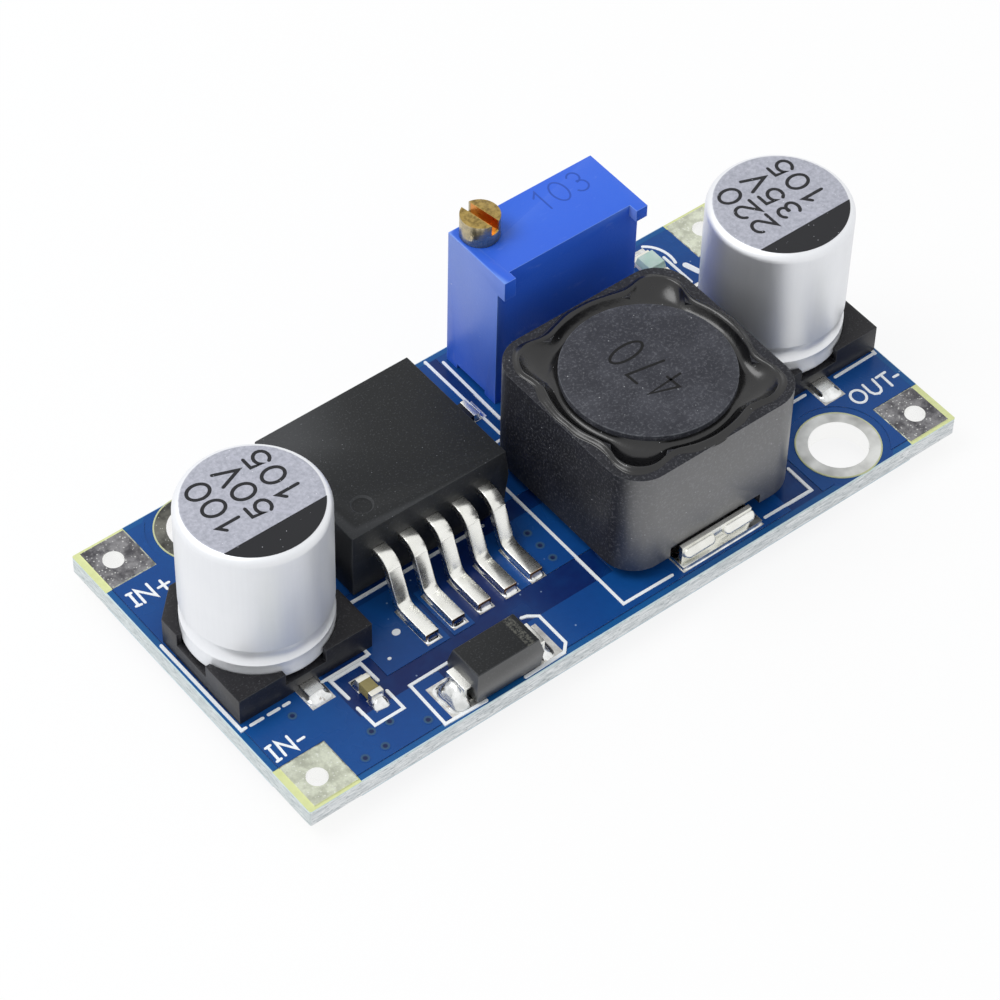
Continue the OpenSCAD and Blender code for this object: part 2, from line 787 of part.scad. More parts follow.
module trimmer_housing() {
    body_z0 = board_t + trim_standoff;
    foot = 0.9;
    ear_drop = [1.3, 0.8];
    color("#2f62d8") difference() {
        union() {
            translate([trim_x0, trim_y0, body_z0])
                cube([trim_body_x1 - trim_x0, trim_y1 - trim_y0, trim_top - body_z0]);
            translate([trim_x0, trim_y0, trim_top - trim_lid_t])
                cube([trim_l, trim_y1 - trim_y0, trim_lid_t]);
            translate([trim_x0, trim_y0 - trim_ear_depth, trim_top - ear_drop[0]])
                cube([0.75, trim_ear_depth + 0.1, ear_drop[0]]);
            translate([trim_x1 - 0.75, trim_y0 - trim_ear_depth, trim_top - ear_drop[1]])
                cube([0.75, trim_ear_depth + 0.1, ear_drop[1]]);
            // feet that hold the body off the board
            for (x = [trim_x0, trim_body_x1 - foot], y = [trim_y0, trim_y1 - foot])
                translate([x, y, board_t]) cube([foot, foot, trim_standoff + 0.1]);
        }
        difference() {
            translate([cavity_x0, cavity_y0, board_t - over])
                cube([cavity_x1 - cavity_x0, cavity_y1 - cavity_y0, cavity_top - board_t + over]);
            // boss that bears the screw's neck
            translate([cavity_x0 - over, screw_at[1] - boss_half, boss_bottom])
                cube([over + screw_at[0] + boss_half - cavity_x0, 2 * boss_half + over, trim_top - boss_bottom]);
            // stub that the rotor turns on
            translate([rotor_at[0], cavity_y1 + 0.1, rotor_at[2]]) rotate([90, 0, 0])
                cylinder(h = cavity_y1 - rotor_at[1] + rotor_w / 2 + 0.1, r = hub_r);
        }
        translate([screw_at[0], screw_at[1], boss_bottom - 0.1])
            cylinder(h = trim_top - boss_bottom + over, r = screw_neck_d / 2 + running_gap);
    }
}

module trimmer_floor() {
    fit = 0.02;
    color("#3a5fb0") difference() {
        translate([cavity_x0 + fit, cavity_y0 + fit, board_t + trim_standoff])
            cube([cavity_x1 - cavity_x0 - 2 * fit, cavity_y1 - cavity_y0 - 2 * fit,
                floor_z1 - board_t - trim_standoff]);
        at_trim_pins() translate([0, 0, board_t]) cylinder(h = 2, d = trim_pin_d);
        translate([screw_at[0], screw_at[1], worm_z0]) cylinder(h = 2, r = pivot_r + running_gap);
    }
}

// Ceramic plate with its raised horseshoe track
module trimmer_element() {
    track_t = 0.04;
    color("#e6e3da") {
        translate([rotor_at[0] - element_half, trim_pin_y - element_t / 2, element_z0])
            cube([2 * element_half, element_t, cavity_top - 0.2 - element_z0]);
        translate([rotor_at[0], trim_pin_y + element_t / 2 + track_t, rotor_at[2]]) rotate([90, 0, 0])
            linear_extrude(track_t) difference() {
                circle(2.5, $fn = 64);
                circle(1.8, $fn = 64);
                translate([0, -3]) square([1.6, 6], center = true);
            }
    }
}

// Worm wheel: the rim's teeth are cut straight
module trimmer_rotor() {
    color("#e9e6dc") translate([rotor_at[0], rotor_at[1] + rotor_w / 2, rotor_at[2]]) rotate([90, 0, 0])
        linear_extrude(rotor_w) difference() {
            union() {
                circle(rotor_root_r, $fn = 96);
                for (i = [0 : rotor_teeth - 1]) rotate(i * 360 / rotor_teeth)
                    polygon([
                        [rotor_root_r - 0.1, -0.17], [rotor_r - 0.02, -0.09],
                        [rotor_r - 0.02, 0.09], [rotor_root_r - 0.1, 0.17]
                    ]);
            }
            circle(hub_r + running_gap, $fn = 64);
        }
}

// Sprung contact that rides on the rotor and bridges the track
module trimmer_wiper() {
    sheet = 0.12;
    face_y = rotor_at[1] - rotor_w / 2;
    track_y = trim_pin_y + element_t / 2 + 0.04;
    contact_gap = 0.06;
    color("#c9a54a") {
        translate([rotor_at[0], face_y, rotor_at[2]]) rotate([90, 0, 0]) linear_extrude(sheet) difference() {
            circle(2.3);
            circle(hub_r + 0.2);
        }
        for (s = [0, 1]) translate([rotor_at[0] - 0.2, track_y + contact_gap, rotor_at[2] + (s > 0 ? 1.5 : -2.3)])
            cube([0.4, face_y - track_y - contact_gap, s > 0 ? 0.6 : 0.6]);
    }
}

module trimmer_screw() {
    head_top = trim_top + screw_rise;
    color("#b9a05c") translate([screw_at[0], screw_at[1], 0]) difference() {
        union() {
            translate([0, 0, boss_bottom]) cylinder(h = head_top - boss_bottom - 0.1, d = screw_neck_d);
            translate([0, 0, trim_top + running_gap]) cylinder(h = screw_rise - running_gap, d = screw_d);
            translate([0, 0, floor_z1 + 0.1]) cylinder(h = boss_bottom - floor_z1, r = worm_r);
            translate([0, 0, worm_z0 + 0.05]) cylinder(h = floor_z1 - worm_z0 + 0.2, r = pivot_r);
        }
        rotate(slot_angle) translate([-screw_d, -slot_w / 2, head_top - slot_depth])
            cube([2 * screw_d, slot_w, slot_depth + over]);
        translate([0, 0, o_ring_z]) rotate_extrude() translate([screw_neck_d / 2 - o_ring_r, 0])
            circle(o_ring_r + 0.02, $fn = 24);
    }
}

module trimmer_o_ring() {
    color("#3b3b3b") translate([screw_at[0], screw_at[1], o_ring_z]) rotate_extrude()
        translate([screw_neck_d / 2 - o_ring_r, 0]) circle(o_ring_r, $fn = 24);
}

module trimmer_pin(i) {
    color("#c8c4b4") translate([trim_pin_x(i), trim_pin_y, -trim_pin_below])
        cylinder(h = element_z0 + trim_pin_below, d = trim_pin_d, $fn = 24);
}

module trimmer_pin_1() { trimmer_pin(0); }
module trimmer_pin_2() { trimmer_pin(1); }
module trimmer_pin_3() { trimmer_pin(2); }

// ---- Diode

diode_clear = 0.12;
diode_parting = 1.05;
diode_lead_t = 0.2;
diode_foot_l = 1.15;

// A lead that leaves the body at mid height and folds down and under it
module diode_lead(s) {
    end = diode_l / 2;
    color("#b3b3b0") translate([diode_at[0], diode_at[1], board_t]) mirror([s < 0 ? 1 : 0, 0, 0]) {
        translate([end - 0.5, -diode_lead_w / 2, diode_parting])
            cube([0.5 + 0.25 + diode_lead_t, diode_lead_w, diode_lead_t]);
        translate([end + 0.25, -diode_lead_w / 2, 0]) cube([diode_lead_t, diode_lead_w, diode_parting + diode_lead_t]);
        translate([end + 0.25 + diode_lead_t - diode_foot_l, -diode_lead_w / 2, 0])
            cube([diode_foot_l, diode_lead_w, diode_clear - 0.02]);
    }
}

module diode_lead_anode() { diode_lead(-1); }
module diode_lead_cathode() { diode_lead(1); }

module diode_body() {
    color("#2a2a2c") difference() {
        translate([diode_at[0], diode_at[1], board_t])
            moulded_box(diode_l, diode_w, diode_clear, diode_parting + diode_lead_t, diode_h, 0.1, 0.2);
        diode_lead_anode();
        diode_lead_cathode();
    }
}

// ---- Chip parts: a block with a metal cap over each end

chip_end_l = 0.32;
chip_end_t = 0.03;

module chip_place(at, along_y) {
    translate([at[0], at[1], board_t]) rotate(along_y ? 90 : 0) children();
}

module chip_ends(size) {
    for (s = [-1, 1]) translate([s * (size[0] / 2 - chip_end_l / 2), 0, size[2] / 2])
        cube([chip_end_l, size[1], size[2]], center = true);
}

// The block fills the part between its end caps and reaches into them
module chip_block(size) {
    inner_l = size[0] - 2 * chip_end_t;
    inner_w = size[1] - 2 * chip_end_t;
    translate([-inner_l / 2, -inner_w / 2, chip_end_t]) cube([inner_l, inner_w, size[2] - 2 * chip_end_t]);
}

module chip_caps(size) {
    difference() {
        chip_ends(size);
        chip_block(size);
    }
}

module chip_cap_body() { color("#8d7f4a") chip_place(chip_cap_at, true) chip_block(chip_cap); }
module chip_cap_ends() { color("#c9c7bd") chip_place(chip_cap_at, true) chip_caps(chip_cap); }

module feedback_resistor_body() {
    color("#1f2023") chip_place(feedback_at, false) chip_block(chip_resistor);
}
module feedback_resistor_ends() {
    color("#c9c7bd") chip_place(feedback_at, false) chip_caps(chip_resistor);
}
module lamp_resistor_body() {
    color("#1f2023") chip_place(lamp_resistor_at, false) chip_block(chip_resistor);
}
module lamp_resistor_ends() {
    color("#c9c7bd") chip_place(lamp_resistor_at, false) chip_caps(chip_resistor);
}

// Indicator lamp: a thin base with a block of clear resin on it
lamp_base_t = 0.3;

module lamp_base() {
    color("#e8e6dc") chip_place(lamp_at, true) chip_block([lamp[0], lamp[1], lamp_base_t]);
}
module lamp_ends() {
    color("#d2c58c") chip_place(lamp_at, true) chip_caps([lamp[0], lamp[1], lamp_base_t]);
}
module lamp_lens() {
    lens_l = 1.25;
    color("#d8f0dc") chip_place(lamp_at, true) translate([0, 0, lamp_base_t])
        moulded_box(lens_l, lamp[1] - 0.04, 0, 0.02, lamp[2] - lamp_base_t, 0, 0.08);
}

// ---- Solder

// A wedge of solder against the end of a foot that points along +X
module fillet(w, l, h) {
    translate([0, w / 2, 0]) rotate([90, 0, 0]) linear_extrude(w)
        polygon([[0, 0], [l, 0], [l * 0.35, h * 0.4], [0, h]]);
}

module solder_joints() {
    color("#c6c8c9") translate([0, 0, board_t]) {
        for (i = [0 : 4]) translate([lead_x(i), reg_toe_y]) rotate(-90) fillet(lead_w, 0.24, 0.34);
        for (at = [cap_in_at, cap_out_at], s = [-1, 1])
            translate([at[0], at[1] + s * (base_side / 2 + can_terminal_reach)]) rotate(s * 90)
                fillet(1.3, 0.6, can_terminal_t);
        for (s = [-1, 1]) translate([diode_at[0] + s * (diode_l / 2 + 0.25 + diode_lead_t), diode_at[1]])
            rotate(s > 0 ? 0 : 180) fillet(diode_lead_w, 0.8, 0.75);
        for (s = [-1, 1]) translate([inductor_at[0], inductor_at[1] + s * clip_reach]) rotate(s * 90)
            fillet(clip_w, 0.08, clip_t);
        for (s = [-1, 1]) translate([chip_cap_at[0], chip_cap_at[1] + s * chip_cap[0] / 2])
            rotate(s * 90) fillet(chip_cap[1], 0.42, 0.55);
        for (at = [feedback_at, lamp_resistor_at], s = [-1, 1])
            translate([at[0] + s * chip_resistor[0] / 2, at[1]]) rotate(s > 0 ? 0 : 180)
                fillet(chip_resistor[1], 0.4, 0.35);
        for (s = [-1, 1]) translate([lamp_at[0], lamp_at[1] + s * lamp[0] / 2]) rotate(s * 90)
            fillet(lamp[1], 0.35, 0.25);
    }
}

// Solder around the trimmer's pins on the underside, filling each hole
module solder_cones() {
    cone_h = 0.75;
    color("#c6c8c9") at_trim_pins() rotate_extrude() difference() {
        union() {
            polygon([
                [0, 0], [trim_land_d / 2, 0], [trim_land_d / 2 - 0.12, -0.12],
                [trim_pin_d / 2 + 0.18, -cone_h * 0.6], [trim_pin_d / 2 + 0.05, -cone_h], [0, -cone_h]
            ]);
            square([trim_hole_d / 2, board_t]);
            square([trim_land_d / 2, core_z0]);
            translate([0, core_z1]) square([trim_land_d / 2, board_t - core_z1]);
        }
        translate([0, -over - cone_h]) square([trim_pin_d / 2, board_t + cone_h + 2 * over]);
    }
}

board_core();
copper_top();
copper_bottom();
solder_mask_top();
solder_mask_bottom();
component_lands();
vias();
pad_in_plus();
pad_in_minus();
pad_out_plus();
pad_out_minus();
mount_ring_left();
mount_ring_right();
cap_in_can();
cap_in_base();
cap_in_terminal_plus();
cap_in_terminal_minus();
cap_out_can();
cap_out_base();
cap_out_terminal_plus();
cap_out_terminal_minus();
regulator_body();
regulator_tab();
regulator_lead_1();
regulator_lead_2();
regulator_lead_4();
regulator_lead_5();
inductor_shell();
inductor_drum();
inductor_winding();
inductor_glue();
inductor_clip_front();
inductor_clip_back();
trimmer_housing();
trimmer_floor();
trimmer_element();
trimmer_rotor();
trimmer_wiper();
trimmer_screw();
trimmer_o_ring();
trimmer_pin_1();
trimmer_pin_2();
trimmer_pin_3();
diode_body();
diode_lead_anode();
diode_lead_cathode();
chip_cap_body();
chip_cap_ends();
feedback_resistor_body();
feedback_resistor_ends();
lamp_resistor_body();
lamp_resistor_ends();
lamp_base();
lamp_lens();
lamp_ends();
solder_joints();
solder_cones();
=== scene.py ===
"""Finishes, prints, solder and stage for the adjustable step-down converter module."""

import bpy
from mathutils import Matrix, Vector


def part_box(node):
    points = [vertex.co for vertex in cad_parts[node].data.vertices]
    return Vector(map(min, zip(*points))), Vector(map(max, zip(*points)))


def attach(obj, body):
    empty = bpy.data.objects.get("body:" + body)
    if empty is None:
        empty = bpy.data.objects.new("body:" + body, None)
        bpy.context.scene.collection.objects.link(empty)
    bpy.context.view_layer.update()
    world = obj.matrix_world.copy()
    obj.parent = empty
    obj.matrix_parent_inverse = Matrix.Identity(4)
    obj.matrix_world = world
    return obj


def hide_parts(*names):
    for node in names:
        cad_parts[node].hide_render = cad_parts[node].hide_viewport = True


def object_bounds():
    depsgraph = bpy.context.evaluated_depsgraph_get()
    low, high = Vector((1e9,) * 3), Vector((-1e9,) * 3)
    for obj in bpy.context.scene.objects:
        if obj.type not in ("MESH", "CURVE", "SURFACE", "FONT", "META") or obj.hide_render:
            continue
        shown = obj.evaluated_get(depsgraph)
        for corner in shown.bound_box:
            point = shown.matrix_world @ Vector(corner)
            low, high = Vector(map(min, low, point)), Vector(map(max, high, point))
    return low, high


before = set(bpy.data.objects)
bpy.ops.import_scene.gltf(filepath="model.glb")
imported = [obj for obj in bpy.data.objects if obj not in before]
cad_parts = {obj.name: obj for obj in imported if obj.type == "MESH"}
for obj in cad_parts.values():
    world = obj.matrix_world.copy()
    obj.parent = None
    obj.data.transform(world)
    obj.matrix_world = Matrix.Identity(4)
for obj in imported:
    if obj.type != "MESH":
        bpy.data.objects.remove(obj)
CAD_BOX = [list(map(float, corner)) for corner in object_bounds()]

import math

import bmesh
import bpy
import numpy as np
from bpy.props import FloatProperty, FloatVectorProperty, PointerProperty
from mathutils import Matrix, Vector

bl_info = {
    "name": "Converter Module Dress",
    "version": (1, 0, 0),
    "blender": (4, 5, 0),
    "location": "View3D > Sidebar > Module",
    "description": "Materials, board print, solder and stage for a small step-down converter module",
    "category": "Object",
}

MM = 0.001


# ---- Sizes taken from the frame, in millimetres


def corners(node):
    """Lowest and highest corner of a part, in millimetres."""
    low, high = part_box(node)
    return np.array(low) / MM, np.array(high) / MM


BOARD_LOW, BOARD_HIGH = corners("solder_mask_top")
BOARD_TOP = float(BOARD_HIGH[2])
FOIL = 0.04


def linear(code):
    """Linear RGB of a hex colour."""
    parts = [int(code[i:i + 2], 16) / 255 for i in (0, 2, 4)]
    return tuple(p / 12.92 if p <= 0.04045 else ((p + 0.055) / 1.055) ** 2.4 for p in parts)


# ---- Settings


def colour(name, text, code):
    return FloatVectorProperty(name=name, description=text, subtype="COLOR", size=3, min=0, max=1,
                               default=linear(code))


def length(name, text, value, low=0.0, high=100.0):
    return FloatProperty(name=name, description=text + ", in millimetres", default=value, min=low, max=high)


class BoardSettings(bpy.types.PropertyGroup):
    mask: colour("Mask over copper", "Solder mask where copper lies under it", "114487")
    mask_bare: colour("Mask over laminate", "Solder mask where no copper lies under it", "081f5a")
    # Painted light: the margin's colour stands in for light let in through the board's edge.
    mask_edge_lit: colour("Mask at the edge", "Solder mask on the free margin of the board", "175690")
    laminate: colour("Laminate", "Bare glass-fibre laminate", "ccd292")
    print_ink: colour("Board print", "Ink of the board print", "f2f5f7")
    line: length("Print line", "Width of a printed line", 0.2, 0.05, 0.5)
    print_height: length("Print height", "Height of the ink over the mask", 0.024, 0.005, 0.05)


class MetalSettings(bpy.types.PropertyGroup):
    tin: colour("Tin", "Bright tinned leads and clips", "f1f1ec")
    solder: colour("Solder", "Solder joints", "f4f5f5")
    can: colour("Can", "Drawn aluminium cans", "f0f1f4")
    can_top: colour("Can top", "Lacquered top of the cans", "bcbdc8")
    brass: colour("Brass", "Adjusting screw", "b39a5c")
    copper: colour("Copper", "Cut ends of the leads", "8a6545")


class PlasticSettings(bpy.types.PropertyGroup):
    epoxy: colour("Epoxy", "Moulding compound of the regulator and diode", "131517")
    base: colour("Base", "Capacitor bases", "131217")
    ferrite: colour("Ferrite", "Shell and drum of the inductor", "15161c")
    glue: colour("Glue", "Black glue of the inductor", "070709")
    trimmer: colour("Trimmer", "Trimmer housing", "2b5fd9")
    ink: colour("Ink", "Dark ink on the cans", "0e0f15")


class StageSettings(bpy.types.PropertyGroup):
    camera_place: FloatVectorProperty(
        name="Camera", description="Camera position in millimetres", size=3,
        default=(-86.17, -102.54, 153.491))
    camera_turn: FloatVectorProperty(
        name="View", description="Azimuth, elevation and roll of the camera, in degrees", size=3,
        default=(-129.558, 48.886, 1.601))
    lens: FloatProperty(name="Lens", description="Focal length in millimetres", default=138.06,
                        min=20, max=400)
    sky: FloatProperty(name="Sky", description="Strength of the tent's light on matt surfaces",
                       default=0.74, min=0, max=2)
    key: FloatProperty(name="Key", description="Power of the key light, in watts", default=0.55,
                       min=0, max=10)


def settings(group):
    return getattr(bpy.context.scene, "module_" + group)


# ---- Shader maths


class Wire:
    """A value inside a node tree. Arithmetic on it adds Math nodes."""

    def __init__(self, nodes, socket):
        self.nodes = nodes
        self.socket = socket

    def do(self, operation, *values):
        return self.nodes.node("ShaderNodeMath", {"operation": operation}, dict(enumerate(values)))

    def __add__(self, other):
        return self.do("ADD", self, other)

    def __sub__(self, other):
        return self.do("SUBTRACT", self, other)

    def __rsub__(self, other):
        return self.do("SUBTRACT", other, self)

    def __mul__(self, other):
        return self.do("MULTIPLY", self, other)

    def __truediv__(self, other):
        return self.do("DIVIDE", self, other)

    def __rtruediv__(self, other):
        return self.do("DIVIDE", other, self)

    def __pow__(self, other):
        return self.do("POWER", self, other)

    def __abs__(self):
        return self.do("ABSOLUTE", self)

    def above(self, edge, blend=0.01):
        """1 where the value is over the edge, 0 where it is under it, blended between."""
        return self.nodes.node(
            "ShaderNodeMapRange", {"interpolation_type": "SMOOTHSTEP"},
            {"Value": self, "From Min": edge - blend, "From Max": edge + blend})

    def below(self, edge, blend=0.01):
        return 1 - self.above(edge, blend)

    def most(self, other):
        return self.do("MAXIMUM", self, other)

    def least(self, other):
        return self.do("MINIMUM", self, other)

    __radd__ = __add__
    __rmul__ = __mul__


class Nodes:
    """A node tree with one method that makes any node."""

    def __init__(self, tree):
        self.tree = tree

    def node(self, kind, options=None, values=None, out=0):
        """Makes a node, sets its options, then its sockets from values or wires, and gives one output, or all
        of them in order when no number is asked for."""
        made = self.tree.nodes.new(kind)
        for key, value in (options or {}).items():
            setattr(made, key, value)
        for key, value in (values or {}).items():
            self.join(made.inputs[key], value)
        if out is None:
            return [Wire(self, output) for output in made.outputs]
        return Wire(self, made.outputs[out])

    def join(self, socket, value):
        if isinstance(value, Wire):
            self.tree.links.new(value.socket, socket)
        elif isinstance(value, tuple) and socket.type == "RGBA":
            socket.default_value = (*value[:3], 1)
        else:
            socket.default_value = value


class Shader(Nodes):
    """A Principled material."""

    def __init__(self, name, **fixed):
        self.material = bpy.data.materials.new(name)
        self.material.use_nodes = True
        super().__init__(self.material.node_tree)
        self.surface = self.tree.nodes["Principled BSDF"]
        self.frame_place = None
        self.facing = None
        self.feed(**fixed)

    def feed(self, **sockets):
        """Sets or links the sockets of the Principled shader; an underscore stands for a space."""
        for name, value in sockets.items():
            self.join(self.surface.inputs[name.replace("_", " ")], value)
        return self

    def place(self):
        """Place on the module in millimetres."""
        if self.frame_place is None:
            coordinates = self.node("ShaderNodeTexCoord", out=3)
            self.frame_place = self.node("ShaderNodeVectorMath", {"operation": "SCALE"},
                                         {0: coordinates, "Scale": 1 / MM})
        return self.frame_place

    def xyz(self):
        return self.node("ShaderNodeSeparateXYZ", None, {0: self.place()}, out=None)

    def normal(self):
        """Components of the surface's own direction."""
        if self.facing is None:
            way = self.node("ShaderNodeNewGeometry", out=1)
            self.facing = self.node("ShaderNodeSeparateXYZ", None, {0: way}, out=None)
        return self.facing

    def upright(self):
        """1 on walls, 0 on level faces."""
        return abs(self.normal()[2]).below(0.5, 0.12)

    def eased_edge(self):
        """1 along eased edges between square faces: the products of the direction's components are 0 on a
        square face and largest half way round an edge."""
        nx, ny, nz = self.normal()
        xx, yy, zz = nx * nx, ny * ny, nz * nz
        return (xx * yy + yy * zz + zz * xx).above(0.09, 0.07)

    def stretched(self, scale):
        return self.node("ShaderNodeVectorMath", {"operation": "MULTIPLY"}, {0: self.place(), 1: scale})

    def noise(self, scale, detail=2.0, roughness=0.5, stretch=(1, 1, 1)):
        """Cloudy noise from 0 to 1; scale is in waves per millimetre."""
        return self.node("ShaderNodeTexNoise", None, {
            "Vector": self.stretched(stretch), "Scale": scale, "Detail": detail, "Roughness": roughness})

    def specks(self, scale, size, stretch=(1, 1, 1)):
        """Scattered dots: 1 inside a dot of the given share of its cell."""
        distance = self.node("ShaderNodeTexVoronoi", {"feature": "F1"},
                             {"Vector": self.stretched(stretch), "Scale": scale, "Randomness": 1.0})
        return distance.below(size, size * 0.4)

    def mix(self, factor, first, second):
        """Colour between the first and the second."""
        return self.node("ShaderNodeMix", {"data_type": "RGBA"}, {0: factor, 6: first, 7: second}, out=2)

    def shade(self, base, factor):
        """A colour times a grey factor."""
        grey = self.node("ShaderNodeCombineXYZ", None, {0: factor, 1: factor, 2: factor})
        return self.node("ShaderNodeMix", {"data_type": "RGBA", "blend_type": "MULTIPLY"},
                         {0: 1.0, 6: base, 7: grey}, out=2)

    def bump(self, height, depth, strength=1.0):
        """Relief whose full height is the given depth in millimetres."""
        made = self.node("ShaderNodeBump", None,
                         {"Strength": strength, "Distance": depth * MM, "Height": height})
        return self.feed(Normal=made)


# ---- Finishes


def tuple3(value):
    return tuple(float(v) for v in value)[:3]


def laminate():
    """Pale glass fibre: the plies and dark thread ends show as streaks along the board's edges."""
    s = settings("board")
    look = Shader("laminate", Specular_IOR_Level=0.3)
    z = look.xyz()[2]
    plies = look.noise(1.0, 3, 0.65, (1.2, 1.2, 8.0))
    threads = look.noise(1.0, 3, 0.6, (2.4, 2.4, 10.0))
    side = look.mix(plies.above(0.5, 0.25), linear("c3c9cb"), linear("fbfcfc"))
    side = look.mix(threads.above(0.6, 0.05) * 0.55, side, linear("858d90"))
    # Painted shade: walls that face -X are darkened towards grey-green by their facing alone.
    side = look.mix(look.normal()[0].below(-0.5, 0.2) * 0.4, side, linear("aebcbb"))
    side = look.mix(z.above(BOARD_TOP - 0.17, 0.04) * 0.6, side, linear("cfe6e2"))
    flat = look.mix(look.noise(2.2, 2), tuple3(s.laminate), linear("dfe4ab"))
    look.feed(Base_Color=look.mix(look.upright(), flat, side), Roughness=plies * 0.2 + 0.5)
    look.bump(threads * 0.5 + plies * 0.5, 0.02)
    return look.material


def board_mask():
    """Glossy mask: brighter where it stands up over copper, paler and greener on the free margin as painted light
    let in through the board's edge, pale where the board's own edge cuts it."""
    s = settings("board")
    look = Shader("solder_mask", Specular_IOR_Level=0.22)
    x, y, z = look.xyz()
    raised = z.above(BOARD_TOP - FOIL / 2, FOIL * 0.3)
    for ring in ("mount_ring_left", "mount_ring_right"):
        low, high = corners(ring)
        at = (low + high) / 2
        off = ((x - float(at[0])) ** 2 + (y - float(at[1])) ** 2) ** 0.5
        raised = raised.most(off.below(float(high[0] - low[0]) / 2 + 0.62, 0.03))
    half = (BOARD_HIGH - BOARD_LOW) / 2
    # Painted light: the free margin is paler and greener, standing in for light let in through the board's edge.
    margin = (abs(x) - float(half[0] - 0.36)).most(abs(y) - float(half[1] - 0.36)).above(0.0, 0.05)
    rim = (abs(x) - float(half[0] - 0.03)).most(abs(y) - float(half[1] - 0.03)).above(0.0, 0.004)
    cloud = look.noise(0.22, 3, 0.6)
    fine = look.noise(2.4, 3, 0.6)
    bare = look.mix(fine * 0.3, tuple3(s.mask_bare), linear("12356e"))
    bare = look.mix(margin, bare, tuple3(s.mask_edge_lit))
    tone = look.mix(raised, bare, tuple3(s.mask))
    tone = look.mix(cloud.above(0.52, 0.2) * 0.4, tone, linear("115394"))
    tone = look.shade(tone, fine * 0.16 + 0.92)
    dust = look.specks(0.9, 0.045)
    tone = look.mix(dust * 0.6, tone, linear("9fb6d4"))
    tone = look.mix(rim, tone, linear("c9dde4"))
    look.feed(Base_Color=tone, Roughness=cloud * 0.1 + 0.22)
    look.bump(fine, 0.003)
    return look.material


def via_tent():
    """Mask sunk into a via: dull rim, dark violet middle. U runs from the middle to the rim."""
    s = settings("board")
    look = Shader("via_tent", Specular_IOR_Level=0.22)
    u = look.node("ShaderNodeSeparateXYZ", None, {0: look.node("ShaderNodeTexCoord", out=2)})
    tone = look.mix(u.above(0.45, 0.12), linear("16244e"), linear("355472"))
    tone = look.mix(u.above(0.82, 0.12), tone, tuple3(s.mask))
    look.feed(Base_Color=tone, Roughness=look.noise(4.0, 2) * 0.2 + 0.25)
    return look.material


def foil():
    """Tinned edge of the foil, dull and a little yellow."""
    look = Shader("copper_foil", Metallic=0.6)
    cloud = look.noise(3.0, 3)
    look.feed(Base_Color=look.mix(cloud.above(0.5, 0.15), linear("6f7268"), linear("c3c5b4")),
              Roughness=cloud * 0.2 + 0.35)
    return look.material


def pad_tin(name, dark, light, grain=0.5, spots=0.2, blotch=1.1):
    """Levelled tin with pits, dull spots and a few bright grains; the wall of its hole is bright."""
    look = Shader(name)
    wall = look.upright()
    cloud = look.noise(blotch, 4, 0.65)
    fine = look.noise(7.0, 2, 0.6)
    tone = look.mix(cloud.above(0.5, 0.16), dark, light)
    tone = look.shade(tone, fine * grain + (1 - grain * 0.5))
    tone = look.mix(look.specks(5.0, spots) * 0.55, tone, linear("f1f2ee"))
    tone = look.mix(wall, tone, (0.97, 0.97, 0.96))
    look.feed(Base_Color=tone, Roughness=(1 - wall) * (fine * 0.3 + 0.12) + 0.14, Metallic=wall * 0.15 + 0.85)
    look.bump(fine * 0.5 + cloud * 0.5, 0.015)
    return look.material


def bright_tin(name, toe=None):
    """Tinned lead: smooth and bright, with a copper-coloured cut at the toe."""
    s = settings("metal")
    look = Shader(name, Metallic=1.0)
    cloud = look.noise(0.8, 2)
    scuff = look.noise(1.0, 2, 0.5, (1.2, 3.2, 3.2))
    tone = look.mix(cloud.above(0.6, 0.2) * 0.3, tuple3(s.tin), linear("c2c1b6"))
    tone = look.shade(tone, scuff * 0.1 + 0.95)
    if toe is not None:
        cut = look.normal()[1].below(-0.6, 0.15) * look.xyz()[1].below(toe + 0.1, 0.03)
        tone = look.mix(cut, tone, tuple3(s.copper))
    look.feed(Base_Color=tone, Roughness=scuff * 0.14 + 0.2)
    look.bump(scuff, 0.003)
    return look.material


def solder():
    s = settings("metal")
    look = Shader("solder", Metallic=1.0)
    cloud = look.noise(1.6, 3)
    tone = look.mix(cloud.above(0.5, 0.2), linear("cfd1d0"), tuple3(s.solder))
    flux = look.noise(2.6, 3, 0.6).above(0.66, 0.04)
    look.feed(Base_Color=look.mix(flux * 0.5, tone, linear("7d6a55")), Roughness=cloud * 0.16 + 0.08)
    look.bump(look.noise(2.0, 2), 0.02)
    return look.material


def can_skin(name, at, dust, metal):
    """Satin drawn aluminium with a lacquered top, faint draw lines and handling marks."""
    s = settings("metal")
    look = Shader(name)
    x, y, z = look.xyz()
    low, high = corners(name)
    top = float(high[2])
    across = ((x - at[0]) ** 2 + (y - at[1]) ** 2) ** 0.5
    radius = float(high[0] - low[0]) / 2
    disc = z.above(top - 0.02, 0.012) * across.below(radius - 0.34, 0.05)
    draw = look.noise(1.0, 3, 0.6, (5.0, 5.0, 0.35))
    cloud = look.noise(0.5, 3)
    grain = look.noise(5.0, 3, 0.7)
    side = look.shade(look.mix(cloud * 0.4, tuple3(s.can), linear("dfe2e6")), draw * 0.06 + 0.96)
    lid = look.mix(grain.above(0.5, 0.3), linear("9b9da8"), tuple3(s.can_top))
    lid = look.mix(look.specks(2.4, dust), lid, linear("e9e9ef"))
    # Painted reflection: the foot is made much less metallic so that it shows pale, standing in for the bright sky
    # it reflects, though it is the same drawn aluminium.
    foot = z.below(float(low[2]) + 1.15, 0.2)
    look.feed(Base_Color=look.mix(disc, side, lid), Metallic=metal - (disc + foot).least(1.0) * (metal - 0.3),
              Roughness=draw * 0.1 + disc * 0.15 + 0.38)
    look.bump(draw * 0.3 + grain * 0.7, 0.004)
    return look.material


